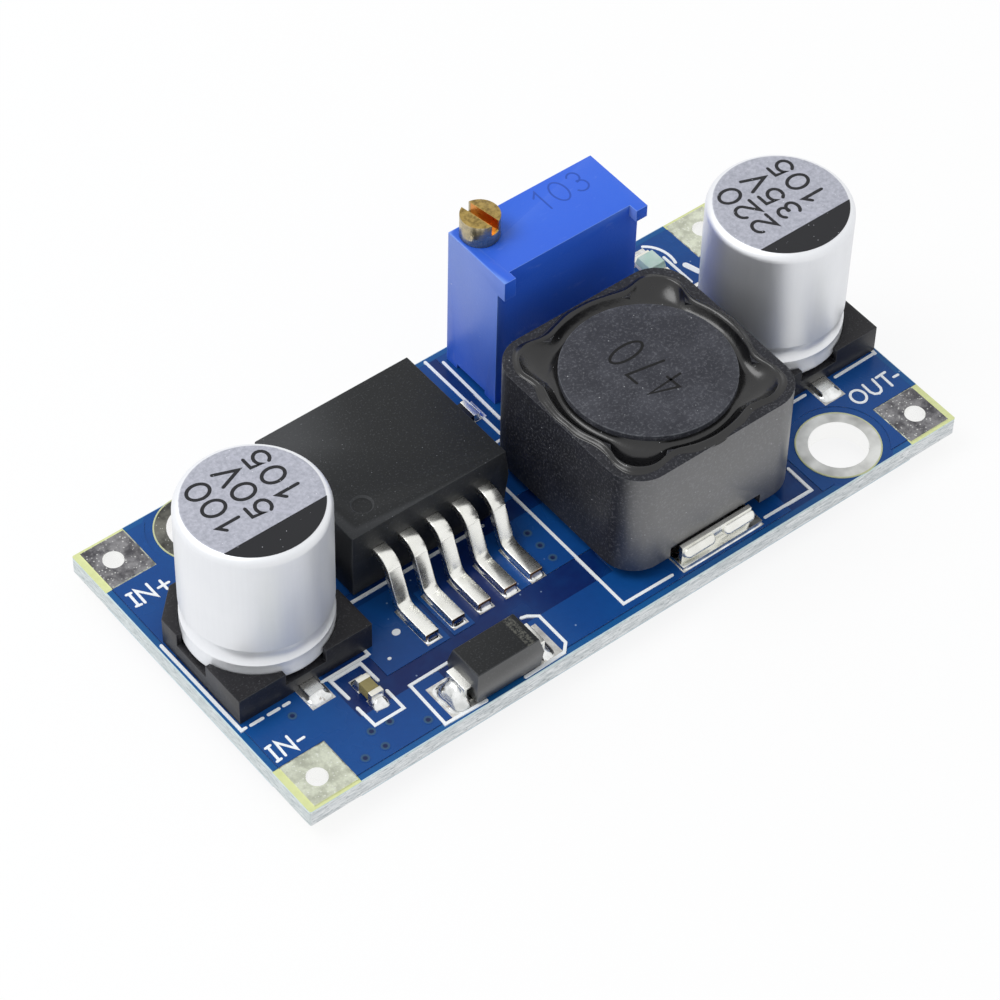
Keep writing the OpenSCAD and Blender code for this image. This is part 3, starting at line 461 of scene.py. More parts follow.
def moulding(name, base, gloss, grain=12.0, depth=0.012, dust=0.03, polish=0.0, band=None):
    """Moulded plastic or epoxy: fine grain with pale filler specks, uneven gloss, a little dust, edges rubbed
    paler and, where asked for, sides polished by the mould and a frosted band from one X to another."""
    look = Shader(name, Specular_IOR_Level=0.3, Coat_IOR=1.8, Coat_Roughness=0.38)
    cloud = look.noise(0.6, 3)
    fine = look.noise(grain, 2, 0.7)
    tone = look.shade(base, cloud * 0.4 + 0.8)
    tone = look.mix(fine.above(0.62, 0.06) * 0.12, tone, linear("7d7f82"))
    tone = look.mix(look.eased_edge() * 0.2, tone, linear("6d6f72"))
    tone = look.mix(look.specks(2.0, dust), tone, linear("8d9096"))
    if band is not None:
        x = look.xyz()[0]
        inside = x.above(band[0], 0.03) * x.below(band[1], 0.03) * look.normal()[2].above(0.7, 0.1)
        frost = look.noise(7.0, 2, 0.7).above(0.5, 0.1)
        tone = look.mix(inside * frost * 0.35, tone, linear("8b8a80"))
    look.feed(Base_Color=tone, Roughness=fine * 0.2 + gloss)
    if polish:
        look.feed(Coat_Weight=look.upright() * polish)
    look.bump(fine, depth)
    return look.material


def ferrite(name, dark, light, gloss, polish=0.0, dust=0.05):
    """Fired ferrite: sooty grey with paler rubbed patches, fine pale grains, a worn upper edge and dust. The
    two walls over the clips are ground, and shine more than the rest."""
    look = Shader(name, Specular_IOR_Level=0.28, Coat_IOR=2.1, Coat_Roughness=0.42)
    cloud = look.noise(0.5, 4, 0.65)
    fine = look.noise(7.0, 3, 0.75)
    tone = look.mix(cloud.above(0.55, 0.2), dark, light)
    tone = look.shade(tone, fine * 0.6 + 0.7)
    tone = look.mix(fine.above(0.58, 0.06) * 0.16, tone, linear("9a9ba0"))
    ny, nz = look.normal()[1:]
    worn = (nz * nz * (1 - nz * nz)).above(0.09, 0.07) * look.noise(2.5, 3, 0.6).above(0.45, 0.12)
    tone = look.mix(worn * 0.4, tone, linear("74777c"))
    tone = look.mix(look.specks(1.5, dust) * 0.6, tone, linear("d4d6d8"))
    look.feed(Base_Color=tone, Roughness=fine * 0.2 + gloss)
    if polish:
        look.feed(Coat_Weight=abs(ny).above(0.55, 0.3) * polish)
    look.bump(fine * 0.7 + cloud * 0.3, 0.012)
    return look.material


def glue_gloss():
    s = settings("plastic")
    look = Shader("inductor_glue", Specular_IOR_Level=0.6)
    cloud = look.noise(0.9, 3)
    dust = look.specks(2.2, 0.04)
    tone = look.mix(dust * 0.9, look.shade(tuple3(s.glue), cloud + 0.5), linear("c9ccd0"))
    look.feed(Base_Color=tone, Roughness=cloud * 0.25 + 0.12)
    look.bump(cloud * 0.6 + look.noise(3.0, 2) * 0.4, 0.02)
    return look.material


def trimmer_plastic():
    """Blue thermoplastic: bright, fine-grained, with small rub marks, painted highlights along its edges and a
    painted reflection on its -X walls that pales towards the top.
    """
    s = settings("plastic")
    look = Shader("trimmer_plastic", Specular_IOR_Level=0.4)
    cloud = look.noise(0.3, 3)
    fine = look.noise(10.0, 2, 0.6)
    rub = look.noise(1.0, 4, 0.7, (0.6, 2.5, 1.0)).above(0.66, 0.06)
    tone = look.mix(cloud * 0.3, tuple3(s.trimmer), linear("3775e0"))
    # Painted reflection: walls that face -X are paled towards lavender, more so towards the top.
    painted_sky_reflection = look.normal()[0].below(-0.5, 0.2) * look.xyz()[2].above(5.0, 4.5)
    tone = look.mix(painted_sky_reflection * 0.4, tone, linear("9db4ee"))
    tone = look.mix(rub * 0.15, tone, linear("88a5ee"))
    # Painted highlight: pale colour laid along the eased edges.
    tone = look.mix(look.eased_edge() * 0.6, tone, linear("8db4fb"))
    tone = look.mix(look.specks(0.8, 0.03), tone, linear("c4d2f7"))
    look.feed(Base_Color=tone, Roughness=fine * 0.15 + 0.32)
    look.bump(fine, 0.01)
    return look.material


def screw_brass():
    """Turned brass, tarnished brown in its pits, paler and greyer on its flank, fresh orange on the slot's walls.
    """
    s = settings("metal")
    look = Shader("screw_brass", Metallic=1.0)
    low, high = corners("trimmer_screw")
    x, y = look.xyz()[:2]
    middle = (low + high) / 2
    across = ((x - float(middle[0])) ** 2 + (y - float(middle[1])) ** 2) ** 0.5
    reach = float(high[0] - low[0]) / 2
    wall = look.upright()
    fine = look.noise(4.0, 3, 0.6)
    turned = look.noise(1.0, 2, 0.5, (1.0, 1.0, 9.0))
    tone = look.mix(fine.above(0.52, 0.2), tuple3(s.brass), linear("7d6a3f"))
    tone = look.mix(wall * across.above(reach - 0.1, 0.03) * 0.4, tone, linear("d6d3c4"))
    tone = look.mix(wall * across.below(reach - 0.14, 0.03), tone, linear("d98f45"))
    look.feed(Base_Color=look.shade(tone, turned * 0.3 + 0.85), Roughness=fine * 0.3 + 0.16)
    look.bump(fine * 0.6 + turned * 0.4, 0.02)
    return look.material


def plain(name, base, roughness, metallic=0.0, grain=4.0, depth=0.01, spread=0.3):
    """Simple finish with a little grain."""
    look = Shader(name, Metallic=metallic, Specular_IOR_Level=0.35)
    fine = look.noise(grain, 3)
    look.feed(Base_Color=look.shade(base, fine * spread + (1 - spread / 2)), Roughness=fine * 0.2 + roughness)
    look.bump(fine, depth)
    return look.material


def lamp_resin():
    look = Shader("lamp_resin", IOR=1.5, Transmission_Weight=0.3)
    cloud = look.noise(2.0, 2)
    look.feed(Base_Color=look.mix(cloud, linear("bfe8d4"), linear("f0fbf4")), Roughness=cloud * 0.1 + 0.15)
    return look.material


def ink_on_can(name, flecks):
    """Black lacquer with fine scratches and dust."""
    s = settings("plastic")
    look = Shader(name, Specular_IOR_Level=0.35)
    scratch = look.noise(1.0, 4, 0.7, (2.2, 6.0, 1.0)).above(flecks, 0.02)
    dots = look.specks(3.0, 0.06)
    tone = look.mix((scratch * 0.7).most(dots * 0.9), tuple3(s.ink), linear("d3d4dc"))
    look.feed(Base_Color=tone, Roughness=look.noise(3.0, 2) * 0.2 + 0.3)
    return look.material


def repaint(material, *nodes):
    for name in nodes:
        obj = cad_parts[name]
        if not obj.data.materials:
            obj.data.materials.append(material)
        for i in range(len(obj.material_slots)):
            obj.material_slots[i].link = "OBJECT"
            obj.material_slots[i].material = material


# ---- Meshes


def piece(name, points, faces, material, body="module", slot=None, sharp=30):
    """A new piece from points in millimetres. Faces are lists of point numbers."""
    mesh = bpy.data.meshes.new(name)
    mesh.from_pydata((np.asarray(points, float) * MM).tolist(), [], [list(map(int, f)) for f in faces])
    mesh.validate()
    work = bmesh.new()
    work.from_mesh(mesh)
    bmesh.ops.remove_doubles(work, verts=work.verts, dist=1e-8)
    bmesh.ops.recalc_face_normals(work, faces=work.faces)
    work.to_mesh(mesh)
    work.free()
    mesh.shade_smooth()
    mesh.set_sharp_from_angle(angle=math.radians(sharp))
    mesh.materials.append(material)
    obj = bpy.data.objects.new(name, mesh)
    bpy.context.scene.collection.objects.link(obj)
    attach(obj, body)
    return obj


def grid_faces(rows, columns, wrap_rows=False, wrap_columns=False):
    """Quads of a grid of rows by columns points, closed round either way on request."""
    i = np.arange(rows if wrap_rows else rows - 1)
    j = np.arange(columns if wrap_columns else columns - 1)
    a, b = np.meshgrid(i, j, indexing="ij")
    c, d = (a + 1) % rows, (b + 1) % columns
    quads = np.stack([a * columns + b, c * columns + b, c * columns + d, a * columns + d], -1)
    return quads.reshape(-1, 4)


def stacked(parts):
    """Points and faces of several meshes as one: each mesh's point numbers start after the last one's."""
    starts = np.cumsum([0] + [len(points) for points, faces in parts])
    faces = [np.asarray(faces) + start for start, (points, faces) in zip(starts, parts)]
    return np.vstack([points for points, faces in parts]), np.vstack(faces)


def softened(node, name, width, segments=2, material=None, angle=28, body="module"):
    """The part's own surface with its edges eased: equal points are merged, flat faces joined, and a bevel
    of the given width is run along every edge that turns by more than the angle."""
    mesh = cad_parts[node].data.copy()
    mesh.name = name
    work = bmesh.new()
    work.from_mesh(mesh)
    bmesh.ops.remove_doubles(work, verts=work.verts, dist=2e-7)
    bmesh.ops.dissolve_limit(work, angle_limit=math.radians(0.6), verts=work.verts, edges=work.edges)
    work.to_mesh(mesh)
    work.free()
    mesh.shade_smooth()
    mesh.materials.clear()
    mesh.materials.append(material)
    obj = bpy.data.objects.new(name, mesh)
    bpy.context.scene.collection.objects.link(obj)
    ease = obj.modifiers.new("ease", "BEVEL")
    ease.width = width * MM
    ease.segments = segments
    ease.limit_method = "ANGLE"
    ease.angle_limit = math.radians(angle)
    ease.use_clamp_overlap = True
    ease.harden_normals = True
    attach(obj, body)
    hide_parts(node)
    return obj


def stroke(path, width, z0, z1):
    """A flat ribbon along a path in the plane: the profile is a low trapezium carried along the path, mitred
    at its corners, and its half width shrinks as a quarter circle past both ends, which rounds them. A path
    that ends where it starts gives a closed loop."""
    path = np.asarray(path, float)
    keep = np.r_[True, np.linalg.norm(np.diff(path, axis=0), axis=1) > 1e-6]
    path = path[keep]
    half = width / 2
    if np.allclose(path[0], path[-1]):
        step = np.diff(path, axis=0)
        step /= np.linalg.norm(step, axis=1)[:, None]
        along = step + np.roll(step, 1, 0)
        along /= np.linalg.norm(along, axis=1)[:, None]
        side = np.stack([-along[:, 1], along[:, 0]], 1)
        stretch = half / np.maximum((along * step).sum(1), 0.35)
        across = stretch[:, None, None] * np.array([1, 0.86, -0.86, -1])[:, None]
        flat = path[:-1, None, :] + side[:, None, :] * across
        level = np.broadcast_to(np.array([z0, z1, z1, z0])[None, :, None], (len(step), 4, 1))
        return np.concatenate([flat, level], 2).reshape(-1, 3), grid_faces(len(step), 4, True, True).tolist()
    step = np.diff(path, axis=0)
    step /= np.linalg.norm(step, axis=1)[:, None]
    before = np.vstack([step[:1], step])
    after = np.vstack([step, step[-1:]])
    along = before + after
    along /= np.maximum(np.linalg.norm(along, axis=1), 1e-9)[:, None]
    stretch = 1 / np.maximum((along * before).sum(1), 0.35)
    turn = np.linspace(0, np.pi / 2, 5)[1:]
    head = path[0] - step[0] * half * np.sin(turn[::-1])[:, None]
    tail = path[-1] + step[-1] * half * np.sin(turn)[:, None]
    points = np.vstack([head, path, tail])
    way = np.vstack([np.repeat(along[:1], 4, 0), along, np.repeat(along[-1:], 4, 0)])
    reach = np.r_[half * np.cos(turn[::-1]), half * stretch, half * np.cos(turn)]
    reach = np.maximum(reach, half * 0.02)
    side = np.stack([-way[:, 1], way[:, 0]], 1)
    shrink = np.array([1.0, 0.86, -0.86, -1.0])
    level = np.array([z0, z1, z1, z0])
    flat = points[:, None, :] + side[:, None, :] * (reach[:, None, None] * shrink[None, :, None])
    rows = len(points)
    grid = np.concatenate([flat, np.broadcast_to(level[None, :, None], (rows, 4, 1))], 2).reshape(-1, 3)
    faces = grid_faces(rows, 4, wrap_columns=True).tolist()
    faces += [[3, 2, 1, 0], [rows * 4 - 4, rows * 4 - 3, rows * 4 - 2, rows * 4 - 1]]
    return grid, faces


INK_STEP = 0.0006


def strokes(name, paths, width, z0, z1, material, body="module", slot=None):
    """All the ribbons of one print as one piece. Each lies a hair over the last, so crossings stay clean.
    A path may be a pair of the path and its own width."""
    ribbons = []
    for number, path in enumerate(paths):
        path, wide = path if isinstance(path, tuple) else (path, width)
        ribbons.append(stroke(path, wide, z0, z1 + INK_STEP * (number % 8)))
    return piece(name, *stacked(ribbons), material, body, slot, sharp=40)


def arc(x, y, rx, ry, start, end, count=14):
    """Points on an ellipse from one angle to another, in degrees."""
    a = np.radians(np.linspace(start, end, count))
    return np.stack([x + rx * np.cos(a), y + ry * np.sin(a)], 1)


GLYPHS = {
    "0": (0.72, [arc(0.36, 0.5, 0.36, 0.5, 90, 450, 30)]),
    "1": (0.42, [[(0.06, 0.76), (0.32, 1.0), (0.32, 0.0)]]),
    "2": (0.7, [np.vstack([arc(0.34, 0.68, 0.32, 0.32, 165, -38), [(0.02, 0.0), (0.7, 0.0)]])]),
    "3": (0.68, [arc(0.32, 0.745, 0.27, 0.255, 150, -90), arc(0.32, 0.27, 0.32, 0.27, 90, -150)]),
    "4": (0.7, [[(0.5, 0.0), (0.5, 1.0), (0.0, 0.3), (0.7, 0.3)]]),
    "5": (0.66, [np.vstack([[(0.6, 1.0), (0.12, 1.0), (0.06, 0.55)],
                            arc(0.3, 0.34, 0.33, 0.33, 128, -150)])]),
    "7": (0.62, [[(0.0, 1.0), (0.6, 1.0), (0.2, 0.0)]]),
    "V": (0.74, [[(0.0, 1.0), (0.36, 0.0), (0.72, 1.0)]]),
}


def words(text, at, height, reading=(1, 0), squeeze=1.0, pitch=None, gap=0.2):
    """Paths of a word that starts at a place and reads along a direction. With a pitch, each sign is
    centred in a cell of that width."""
    reading = np.array(reading, float)
    up = np.array([-reading[1], reading[0]])
    cursor, paths = 0.0, []
    for sign in text:
        wide, lines = GLYPHS[sign]
        wide *= height * squeeze
        start = cursor + (pitch - wide) / 2 if pitch else cursor
        for line in lines:
            line = np.asarray(line, float)
            right = start + line[:, :1] * height * squeeze
            paths.append(np.array(at) + reading * right + up * line[:, 1:] * height)
        cursor += pitch if pitch else wide + gap * height
    return paths


# ---- Pieces


class MODULE_OT_board(bpy.types.Operator):
    """Finishes of the bare board: laminate, foil, mask, pads, rings, lands and vias."""

    bl_idname = "module.board"
    bl_label = "Board"

    def execute(self, context):
        repaint(laminate(), "board_core")
        repaint(foil(), "copper_top", "copper_bottom")
        repaint(board_mask(), "solder_mask_top", "solder_mask_bottom")
        repaint(pad_tin("pad_dark", linear("4d4c50"), linear("8b8a8c")),
                "pad_in_plus", "pad_out_minus")
        repaint(pad_tin("pad_pale", linear("b2b5a4"), linear("dadecb"), 0.2),
                "pad_in_minus", "pad_out_plus")
        repaint(pad_tin("ring_tin_dark", linear("3f3f3d"), linear("77776f"), 0.5, 0.12, 0.6),
                "mount_ring_left")
        repaint(pad_tin("ring_tin", linear("6b6b67"), linear("dfe0dd"), 0.12, 0.06, 0.17),
                "mount_ring_right")
        repaint(pad_tin("land_tin", linear("b5b3b0"), linear("e6e6e2"), 0.15, 0.1, 0.8),
                "component_lands")
        repaint(pad_tin("via_tin", linear("4d4a45"), linear("6f6a55"), 0.3), "vias")
        self.tents()
        rims = []
        for side in ("left", "right"):
            low, high = corners(f"mount_ring_{side}")
            at, reach = (low + high) / 2, float(high[0] - low[0]) / 2
            rims.append(arc(at[0], at[1], reach + 0.02, reach + 0.02, 0, 360, 97))
        bare = plain("bare_rim", linear("c3c79c"), 0.5, 0.2, 6.0, 0.01, 0.4)
        strokes("ring_outlines", rims, 0.09, BOARD_TOP - 0.05, BOARD_TOP + 0.004, bare, slot="laminate")
        return {"FINISHED"}

    def tents(self):
        """Mask over both ends of each via: a disc turned from a profile that is flat at the rim, rises on a
        low ring and sinks in the middle. U holds the share of the radius."""
        flat = np.array([v.co[:2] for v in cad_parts["vias"].data.vertices]) / MM
        via_width = 0.52
        middles = []
        while len(flat):
            own = np.hypot(*(flat - flat[0]).T) < via_width
            middles.append((flat[own].min(0) + flat[own].max(0)) / 2)
            flat = flat[~own]
        share = np.array([0.0, 0.12, 0.28, 0.44, 0.56, 0.7, 0.85, 1.0, 1.0])
        rise = np.array([-0.022, -0.02, -0.012, 0.004, 0.012, 0.01, 0.006, 0.002, -0.03]) * 0.6 + 0.012
        turn = np.linspace(0, 2 * np.pi, 25)[:-1]
        radius = 0.29
        x = share[:, None] * radius * np.cos(turn)
        y = share[:, None] * radius * np.sin(turn)
        z = np.broadcast_to(rise[:, None], x.shape)
        disc = np.stack([x, y, z], -1).reshape(-1, 3)
        faces = grid_faces(len(share), 24, wrap_columns=True)
        discs = [(disc * (1, flip, flip) + (*middle, level), faces)
                 for middle in middles for level, flip in ((BOARD_TOP, 1), (0.0, -1))]
        made = piece("via_tents", *stacked(discs), via_tent(), slot="solder_mask", sharp=80)
        mesh = made.data
        place = np.empty(len(mesh.vertices) * 3)
        mesh.vertices.foreach_get("co", place)
        place = place.reshape(-1, 3)[:, :2] / MM
        off = np.hypot(*(place[:, None] - np.array(middles)[None]).transpose(2, 0, 1)).min(1) / radius
        corner = np.empty(len(mesh.loops), int)
        mesh.loops.foreach_get("vertex_index", corner)
        layer = mesh.uv_layers.new(name="radius")
        layer.data.foreach_set("uv", np.stack([off[corner], np.zeros(len(corner))], 1).ravel())


class MODULE_OT_board_print(bpy.types.Operator):
    """White board print: part outlines as ribbons with rounded ends, and the four terminal names."""

    bl_idname = "module.board_print"
    bl_label = "Board print"

    def execute(self, context):
        s = settings("board")
        ink = plain("board_print", tuple3(s.print_ink), 0.5, grain=8.0, depth=0.006, spread=0.12)
        z0, z1 = BOARD_TOP - FOIL - 0.02, BOARD_TOP + s.print_height
        dashes = ((-20.74, -20.03), (-19.65, -19.03), (-18.71, -18.39))
        lines = [
            [(-21.36, 2.64), (-21.31, -4.25), (-21.06, -4.25)],
            [(-16.28, -4.22), (-13.33, -4.22), (-13.33, -3.79)],
            [(-15.84, -5.87), (-15.9, -4.42), (-14.01, -4.42), (-13.97, -5.84)],
            [(-15.86, -6.66), (-15.82, -8.06), (-14.01, -8.06), (-14.01, -6.67)],
            [(-10.32, -7.09), (-12.89, -7.1), (-12.97, -10.13), (-10.42, -10.2)],
            [(-5.67, -7.08), (-5.37, -7.16), (-4.87, -7.54), (-4.89, -9.72), (-5.35, -10.18), (-7.89, -10.22)],
            [(-12.21, -0.44), (-12.16, -0.95), (-3.4, -0.95)],
            [(1.37, 10.13), (1.37, 5.45)],
            [(1.37, 4.95), (1.37, 3.5)],
            [(2.15, 9.53), (2.05, 4.44)],
            [(12.3, 4.44), (12.3, 9.6)],
            [(-0.83, 0.42), (-0.87, -5.77), (-0.91, -9.55), (2.31, -9.6)],
            [(8.76, -9.54), (11.96, -9.57), (11.98, -7.72)],
            [(-0.85, 1.2), (-0.85, 3.2), (1.2, 3.2)],
            [(8.9, 3.2), (12.0, 3.2), (12.0, 1.4)],
            [(21.36, 2.6), (21.31, -4.2), (18.4, -4.24)],
            [(16.2, -4.24), (13.3, -4.24), (13.0, -3.6)],
            arc(15.7, 8.3, 1.5, 1.7, 60, -20, 10),
            ([(17.45, 7.2), (17.7, 6.4)], 0.42),
            [(16.85, 8.4), (16.85, 6.05)],
            ([(-11.35, -3.92), (-11.33, -3.92)], 0.46),
            ([(-12.67, -5.09), (-12.65, -5.09)], 0.2),
        ] + [[(a, -4.27), (b, -4.27)] for a, b in dashes]
        strokes("board_print", lines, s.line, z0, z1, ink)
        names = [
            [(-20.87, 6.47), (-20.6, 6.44)], [(-20.73, 6.45), (-20.75, 5.52)], [(-20.88, 5.54), (-20.6, 5.5)],
            [(-20.37, 5.49), (-20.35, 6.45), (-19.62, 5.49), (-19.63, 6.45)],
            [(-18.95, 6.21), (-18.95, 5.54)], [(-19.28, 5.87), (-18.64, 5.87)],
            [(-21.03, -5.9), (-20.75, -5.88)], [(-20.9, -5.9), (-20.92, -6.89)], [(-21.04, -6.91), (-20.79, -6.89)],
            [(-20.48, -6.84), (-20.43, -5.89), (-19.78, -6.86), (-19.76, -5.93)],
            [(-19.46, -6.5), (-19.1, -6.49)],
        ]
        for up in (0.0, 12.16):
            names += [
                arc(18.44, up - 6.08, 0.42, 0.48, 90, 450, 26),
                [(19.18, up - 5.6), (19.16, up - 6.22), (19.27, up - 6.48), (19.5, up - 6.59), (19.7, up - 6.53),
                 (19.82, up - 6.34), (19.88, up - 5.62)],
                [(20.13, up - 5.63), (20.77, up - 5.61)], [(20.46, up - 5.62), (20.44, up - 6.58)],
                [(20.93, up - 6.17), (21.22, up - 6.18)],
            ]
        names.append([(21.08, 6.16), (21.08, 5.82)])
        strokes("terminal_names", names, s.line * 0.85, z0, z1, ink)
        return {"FINISHED"}


# Side, capacity, voltage, threshold of the half-moon's scratches, and how metallic the can looks
CAN_MARKS = (("in", "100", "50V", 0.8, 0.6), ("out", "220", "35V", 0.74, 0.8))


class MODULE_OT_cans(bpy.types.Operator):
    """Cans of both capacitors with the dark half-moon, ratings and vent scores on top."""

    bl_idname = "module.cans"
    bl_label = "Capacitor cans"

    def execute(self, context):
        for side, rating, volts, flecks, metal in CAN_MARKS:
            node = f"cap_{side}_can"
            low, high = corners(node)
            at = (low + high) / 2
            top = float(high[2])
            repaint(can_skin(node, (float(at[0]), float(at[1])), 0.05, metal), node)
            ink = ink_on_can(f"can_ink_{side}", 0.9)
            edge, chord = 3.66, -1.95
            half = math.sqrt(edge ** 2 - chord ** 2)
            u = np.linspace(-1, 1, 49)
            v = np.linspace(0, 1, 5)
            across = half * np.sin(u * np.pi / 2)
            rim = -np.sqrt(np.maximum(edge ** 2 - across ** 2, 0))
            rim[[0, -1]] = chord
            lay = chord + (rim - chord)[:, None] * v[None, :]
            flat = np.stack([np.repeat(across[:, None], 5, 1) + at[0], lay + at[1],
                             np.full_like(lay, top + 0.012)], -1)
            under = flat.copy()
            under[..., 2] = top - 0.02
            count = 49 * 5
            faces = grid_faces(49, 5).tolist() + (grid_faces(49, 5)[:, ::-1] + count).tolist()
            border = [i * 5 for i in range(49)] + [48 * 5 + j for j in range(1, 5)]
            border += [i * 5 + 4 for i in range(47, -1, -1)] + [j for j in range(3, 0, -1)]
            faces += [[a, b, b + count, a + count] for a, b in zip(border, border[1:] + border[:1])]
            piece(f"half_moon_{side}", np.vstack([flat.reshape(-1, 3), under.reshape(-1, 3)]), faces,
                  ink_on_can(f"half_moon_ink_{side}", flecks), slot="epoxy")
            lines = []
            for text, shift in ((rating, -1.8), (volts, 0.0), ("105", 1.8)):
                lines += words(text, (at[0] + shift + 0.62, at[1] - 1.27), 1.24, (0, 1), 1.08, 1.33)
            strokes(f"rating_{side}", lines, 0.215, top - 0.02, top + 0.008, ink, slot="epoxy")
            scores = [[(at[0] - 2.4, at[1] + 1.9), (at[0] + 1.2, at[1] - 1.9)],
                      arc(at[0] + 3.3, at[1] + 3.4, 2.4, 2.4, 190, 262, 12)]
            pressed = plain(f"vent_score_{side}", linear("b4b5c1"), 0.5, 0.3, 5.0, 0.01, 0.1)
            strokes(f"vent_scores_{side}", scores, 0.16, top - 0.02, top + 0.004, pressed,
                    slot="can_aluminium")
        return {"FINISHED"}


class MODULE_OT_bases(bpy.types.Operator):
    """Moulded bases of the capacitors, and their flat terminals."""

    bl_idname = "module.bases"
    bl_label = "Capacitor bases"

    def execute(self, context):
        s = settings("plastic")
        black = moulding("base_plastic", tuple3(s.base), 0.36, 9.0, 0.008, 0.03, 0.25)
        tin = bright_tin("terminal_tin")
        for side in ("in", "out"):
            softened(f"cap_{side}_base", f"base_moulding_{side}", 0.07, 2, black)
            repaint(tin, f"cap_{side}_terminal_plus", f"cap_{side}_terminal_minus")
        return {"FINISHED"}


class MODULE_OT_regulator(bpy.types.Operator):
    """Regulator: moulded body with eased edges, tab and gull-wing leads."""

    bl_idname = "module.regulator"
    bl_label = "Regulator"

    def execute(self, context):
        s = settings("plastic")
        black = moulding("regulator_epoxy", tuple3(s.epoxy), 0.48, 9.0, 0.012, 0.035, 0.25)
        softened("regulator_body", "regulator_moulding", 0.06, 2, black)
        tin = bright_tin("lead_tin", float(corners("regulator_lead_1")[0][1]))
        for n in (1, 2, 4, 5):
            softened(f"regulator_lead_{n}", f"lead_{n}", 0.06, 2, tin, 40)
        softened("regulator_tab", "tab_and_middle_lead", 0.06, 2, tin, 40)
        return {"FINISHED"}


class MODULE_OT_inductor(bpy.types.Operator):
    """Inductor: ferrite shell and drum, wet-looking glue ring and terminal clips."""

    bl_idname = "module.inductor"
    bl_label = "Inductor"

    def execute(self, context):
        s = settings("plastic")
        shell = ferrite("shell_ferrite", tuple3(s.ferrite), linear("1d1e26"), 0.42, 1.0, 0.04)
        softened("inductor_shell", "shell", 0.22, 3, shell, 40)
        disc = ferrite("drum_ferrite", linear("2e2f36"), linear("43444b"), 0.6, 0.0, 0.045)
        softened("inductor_drum", "drum", 0.06, 2, disc, 40)
        repaint(plain("wire_enamel", linear("8e4a22"), 0.3, 0.7), "inductor_winding")
        self.glue()
        tin = bright_tin("clip_tin")
        for side in ("front", "back"):
            softened(f"inductor_clip_{side}", f"clip_{side}", 0.04, 2, tin, 40)
        low, high = corners("inductor_drum")
        top = float(high[2])
        mark = plain("drum_mark", linear("060608"), 0.7, 0.0, 6.0, 0.01, 0.6)
        start = ((low[0] + high[0]) / 2 + 1.13, (low[1] + high[1]) / 2 - 2.2)
        lines = words("470", start, 2.15, (-0.06, 0.998), 0.6, 1.55)
        strokes("drum_value", lines, 0.18, top - 0.02, top + 0.003, mark, slot="ferrite")
        return {"FINISHED"}

    def glue(self):
        """Glue that fills the gap between drum and shell and runs out over the shell's rim. One parameter goes
        round; the other runs outwards from the drum through a trough to the bore's edge, over a soft bead and
        thinning on the rim. The bore's edge is a circle with a round pocket towards each corner, averaged over
        a few degrees so that the pockets blend into it."""
        low, high = corners("inductor_glue")
        at = (low + high) / 2
        drum_low, drum_high = corners("inductor_drum")
        rim = float(corners("inductor_shell")[1][2])
        inner = float(drum_high[0] - drum_low[0]) / 2 - 0.02
        bore_radius, pocket_radius, pocket_reach = 5.45, 1.45, 5.25
        trough = 0.6
        count = 480
        turn = np.arange(count) * 2 * np.pi / count
        bore = np.full(count, bore_radius)
        for corner in np.radians([45, 135, 225, 315]):
            off = turn - corner
            inside = pocket_radius ** 2 - (pocket_reach * np.sin(off)) ** 2
            hit = pocket_reach * np.cos(off) + np.sqrt(np.maximum(inside, 0))
            bore = np.where((inside > 0) & (np.cos(off) > 0), np.maximum(bore, hit), bore)
        width = np.exp(-(np.minimum(turn, 2 * np.pi - turn) / 0.1) ** 2)
        smooth = np.real(np.fft.ifft(np.fft.fft(bore) * np.fft.fft(width / width.sum())))
        edge = np.maximum(smooth, bore - 0.05)
        wave = 0.05 * np.sin(7 * turn + 0.6) + 0.04 * np.sin(11 * turn + 2.0) + 0.03 * np.sin(23 * turn)
        spread = 0.5 + wave
        deep = np.clip((edge - bore_radius) / 1.2, 0, 1)
        share = np.linspace(0, 1, 29)
        inward = np.minimum(share / trough, 1)
        outward = np.clip((share - trough) / (1 - trough), 0, 1)
        reach = inner + (edge - inner)[:, None] * inward + spread[:, None] * outward
        hollow = np.sin(np.pi * inward ** 0.8) ** 0.9 * (0.34 + 0.2 * deep[:, None])
        start = -0.12 * (1 - inward) ** 2
        bead = 0.17 * np.exp(-((outward - 0.28) / 0.3) ** 2) * (inward >= 1) + 0.071 * inward ** 6 * (inward < 1)
        thin = np.where(share >= 0.999, -0.06, 0.012)
        z = rim + start - hollow + bead + thin + 0.02 * np.sin(5 * turn + 1)[:, None] * (1 - outward) * inward
        x = at[0] + reach * np.cos(turn)[:, None]
        y = at[1] + reach * np.sin(turn)[:, None]
        upper = np.stack([x, y, z], -1)
        under = np.stack([x[:, 18], y[:, 18], np.full(count, rim - 0.3)], -1)
        floor = np.stack([x[:, 0], y[:, 0], np.full(count, float(low[2]))], -1)
        ring = np.concatenate([upper, under[:, None], floor[:, None]], 1)
        made = piece("glue_ring", ring.reshape(-1, 3), grid_faces(count, 31, True, True), glue_gloss(),
                     slot="glue", sharp=75)
        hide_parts("inductor_glue")


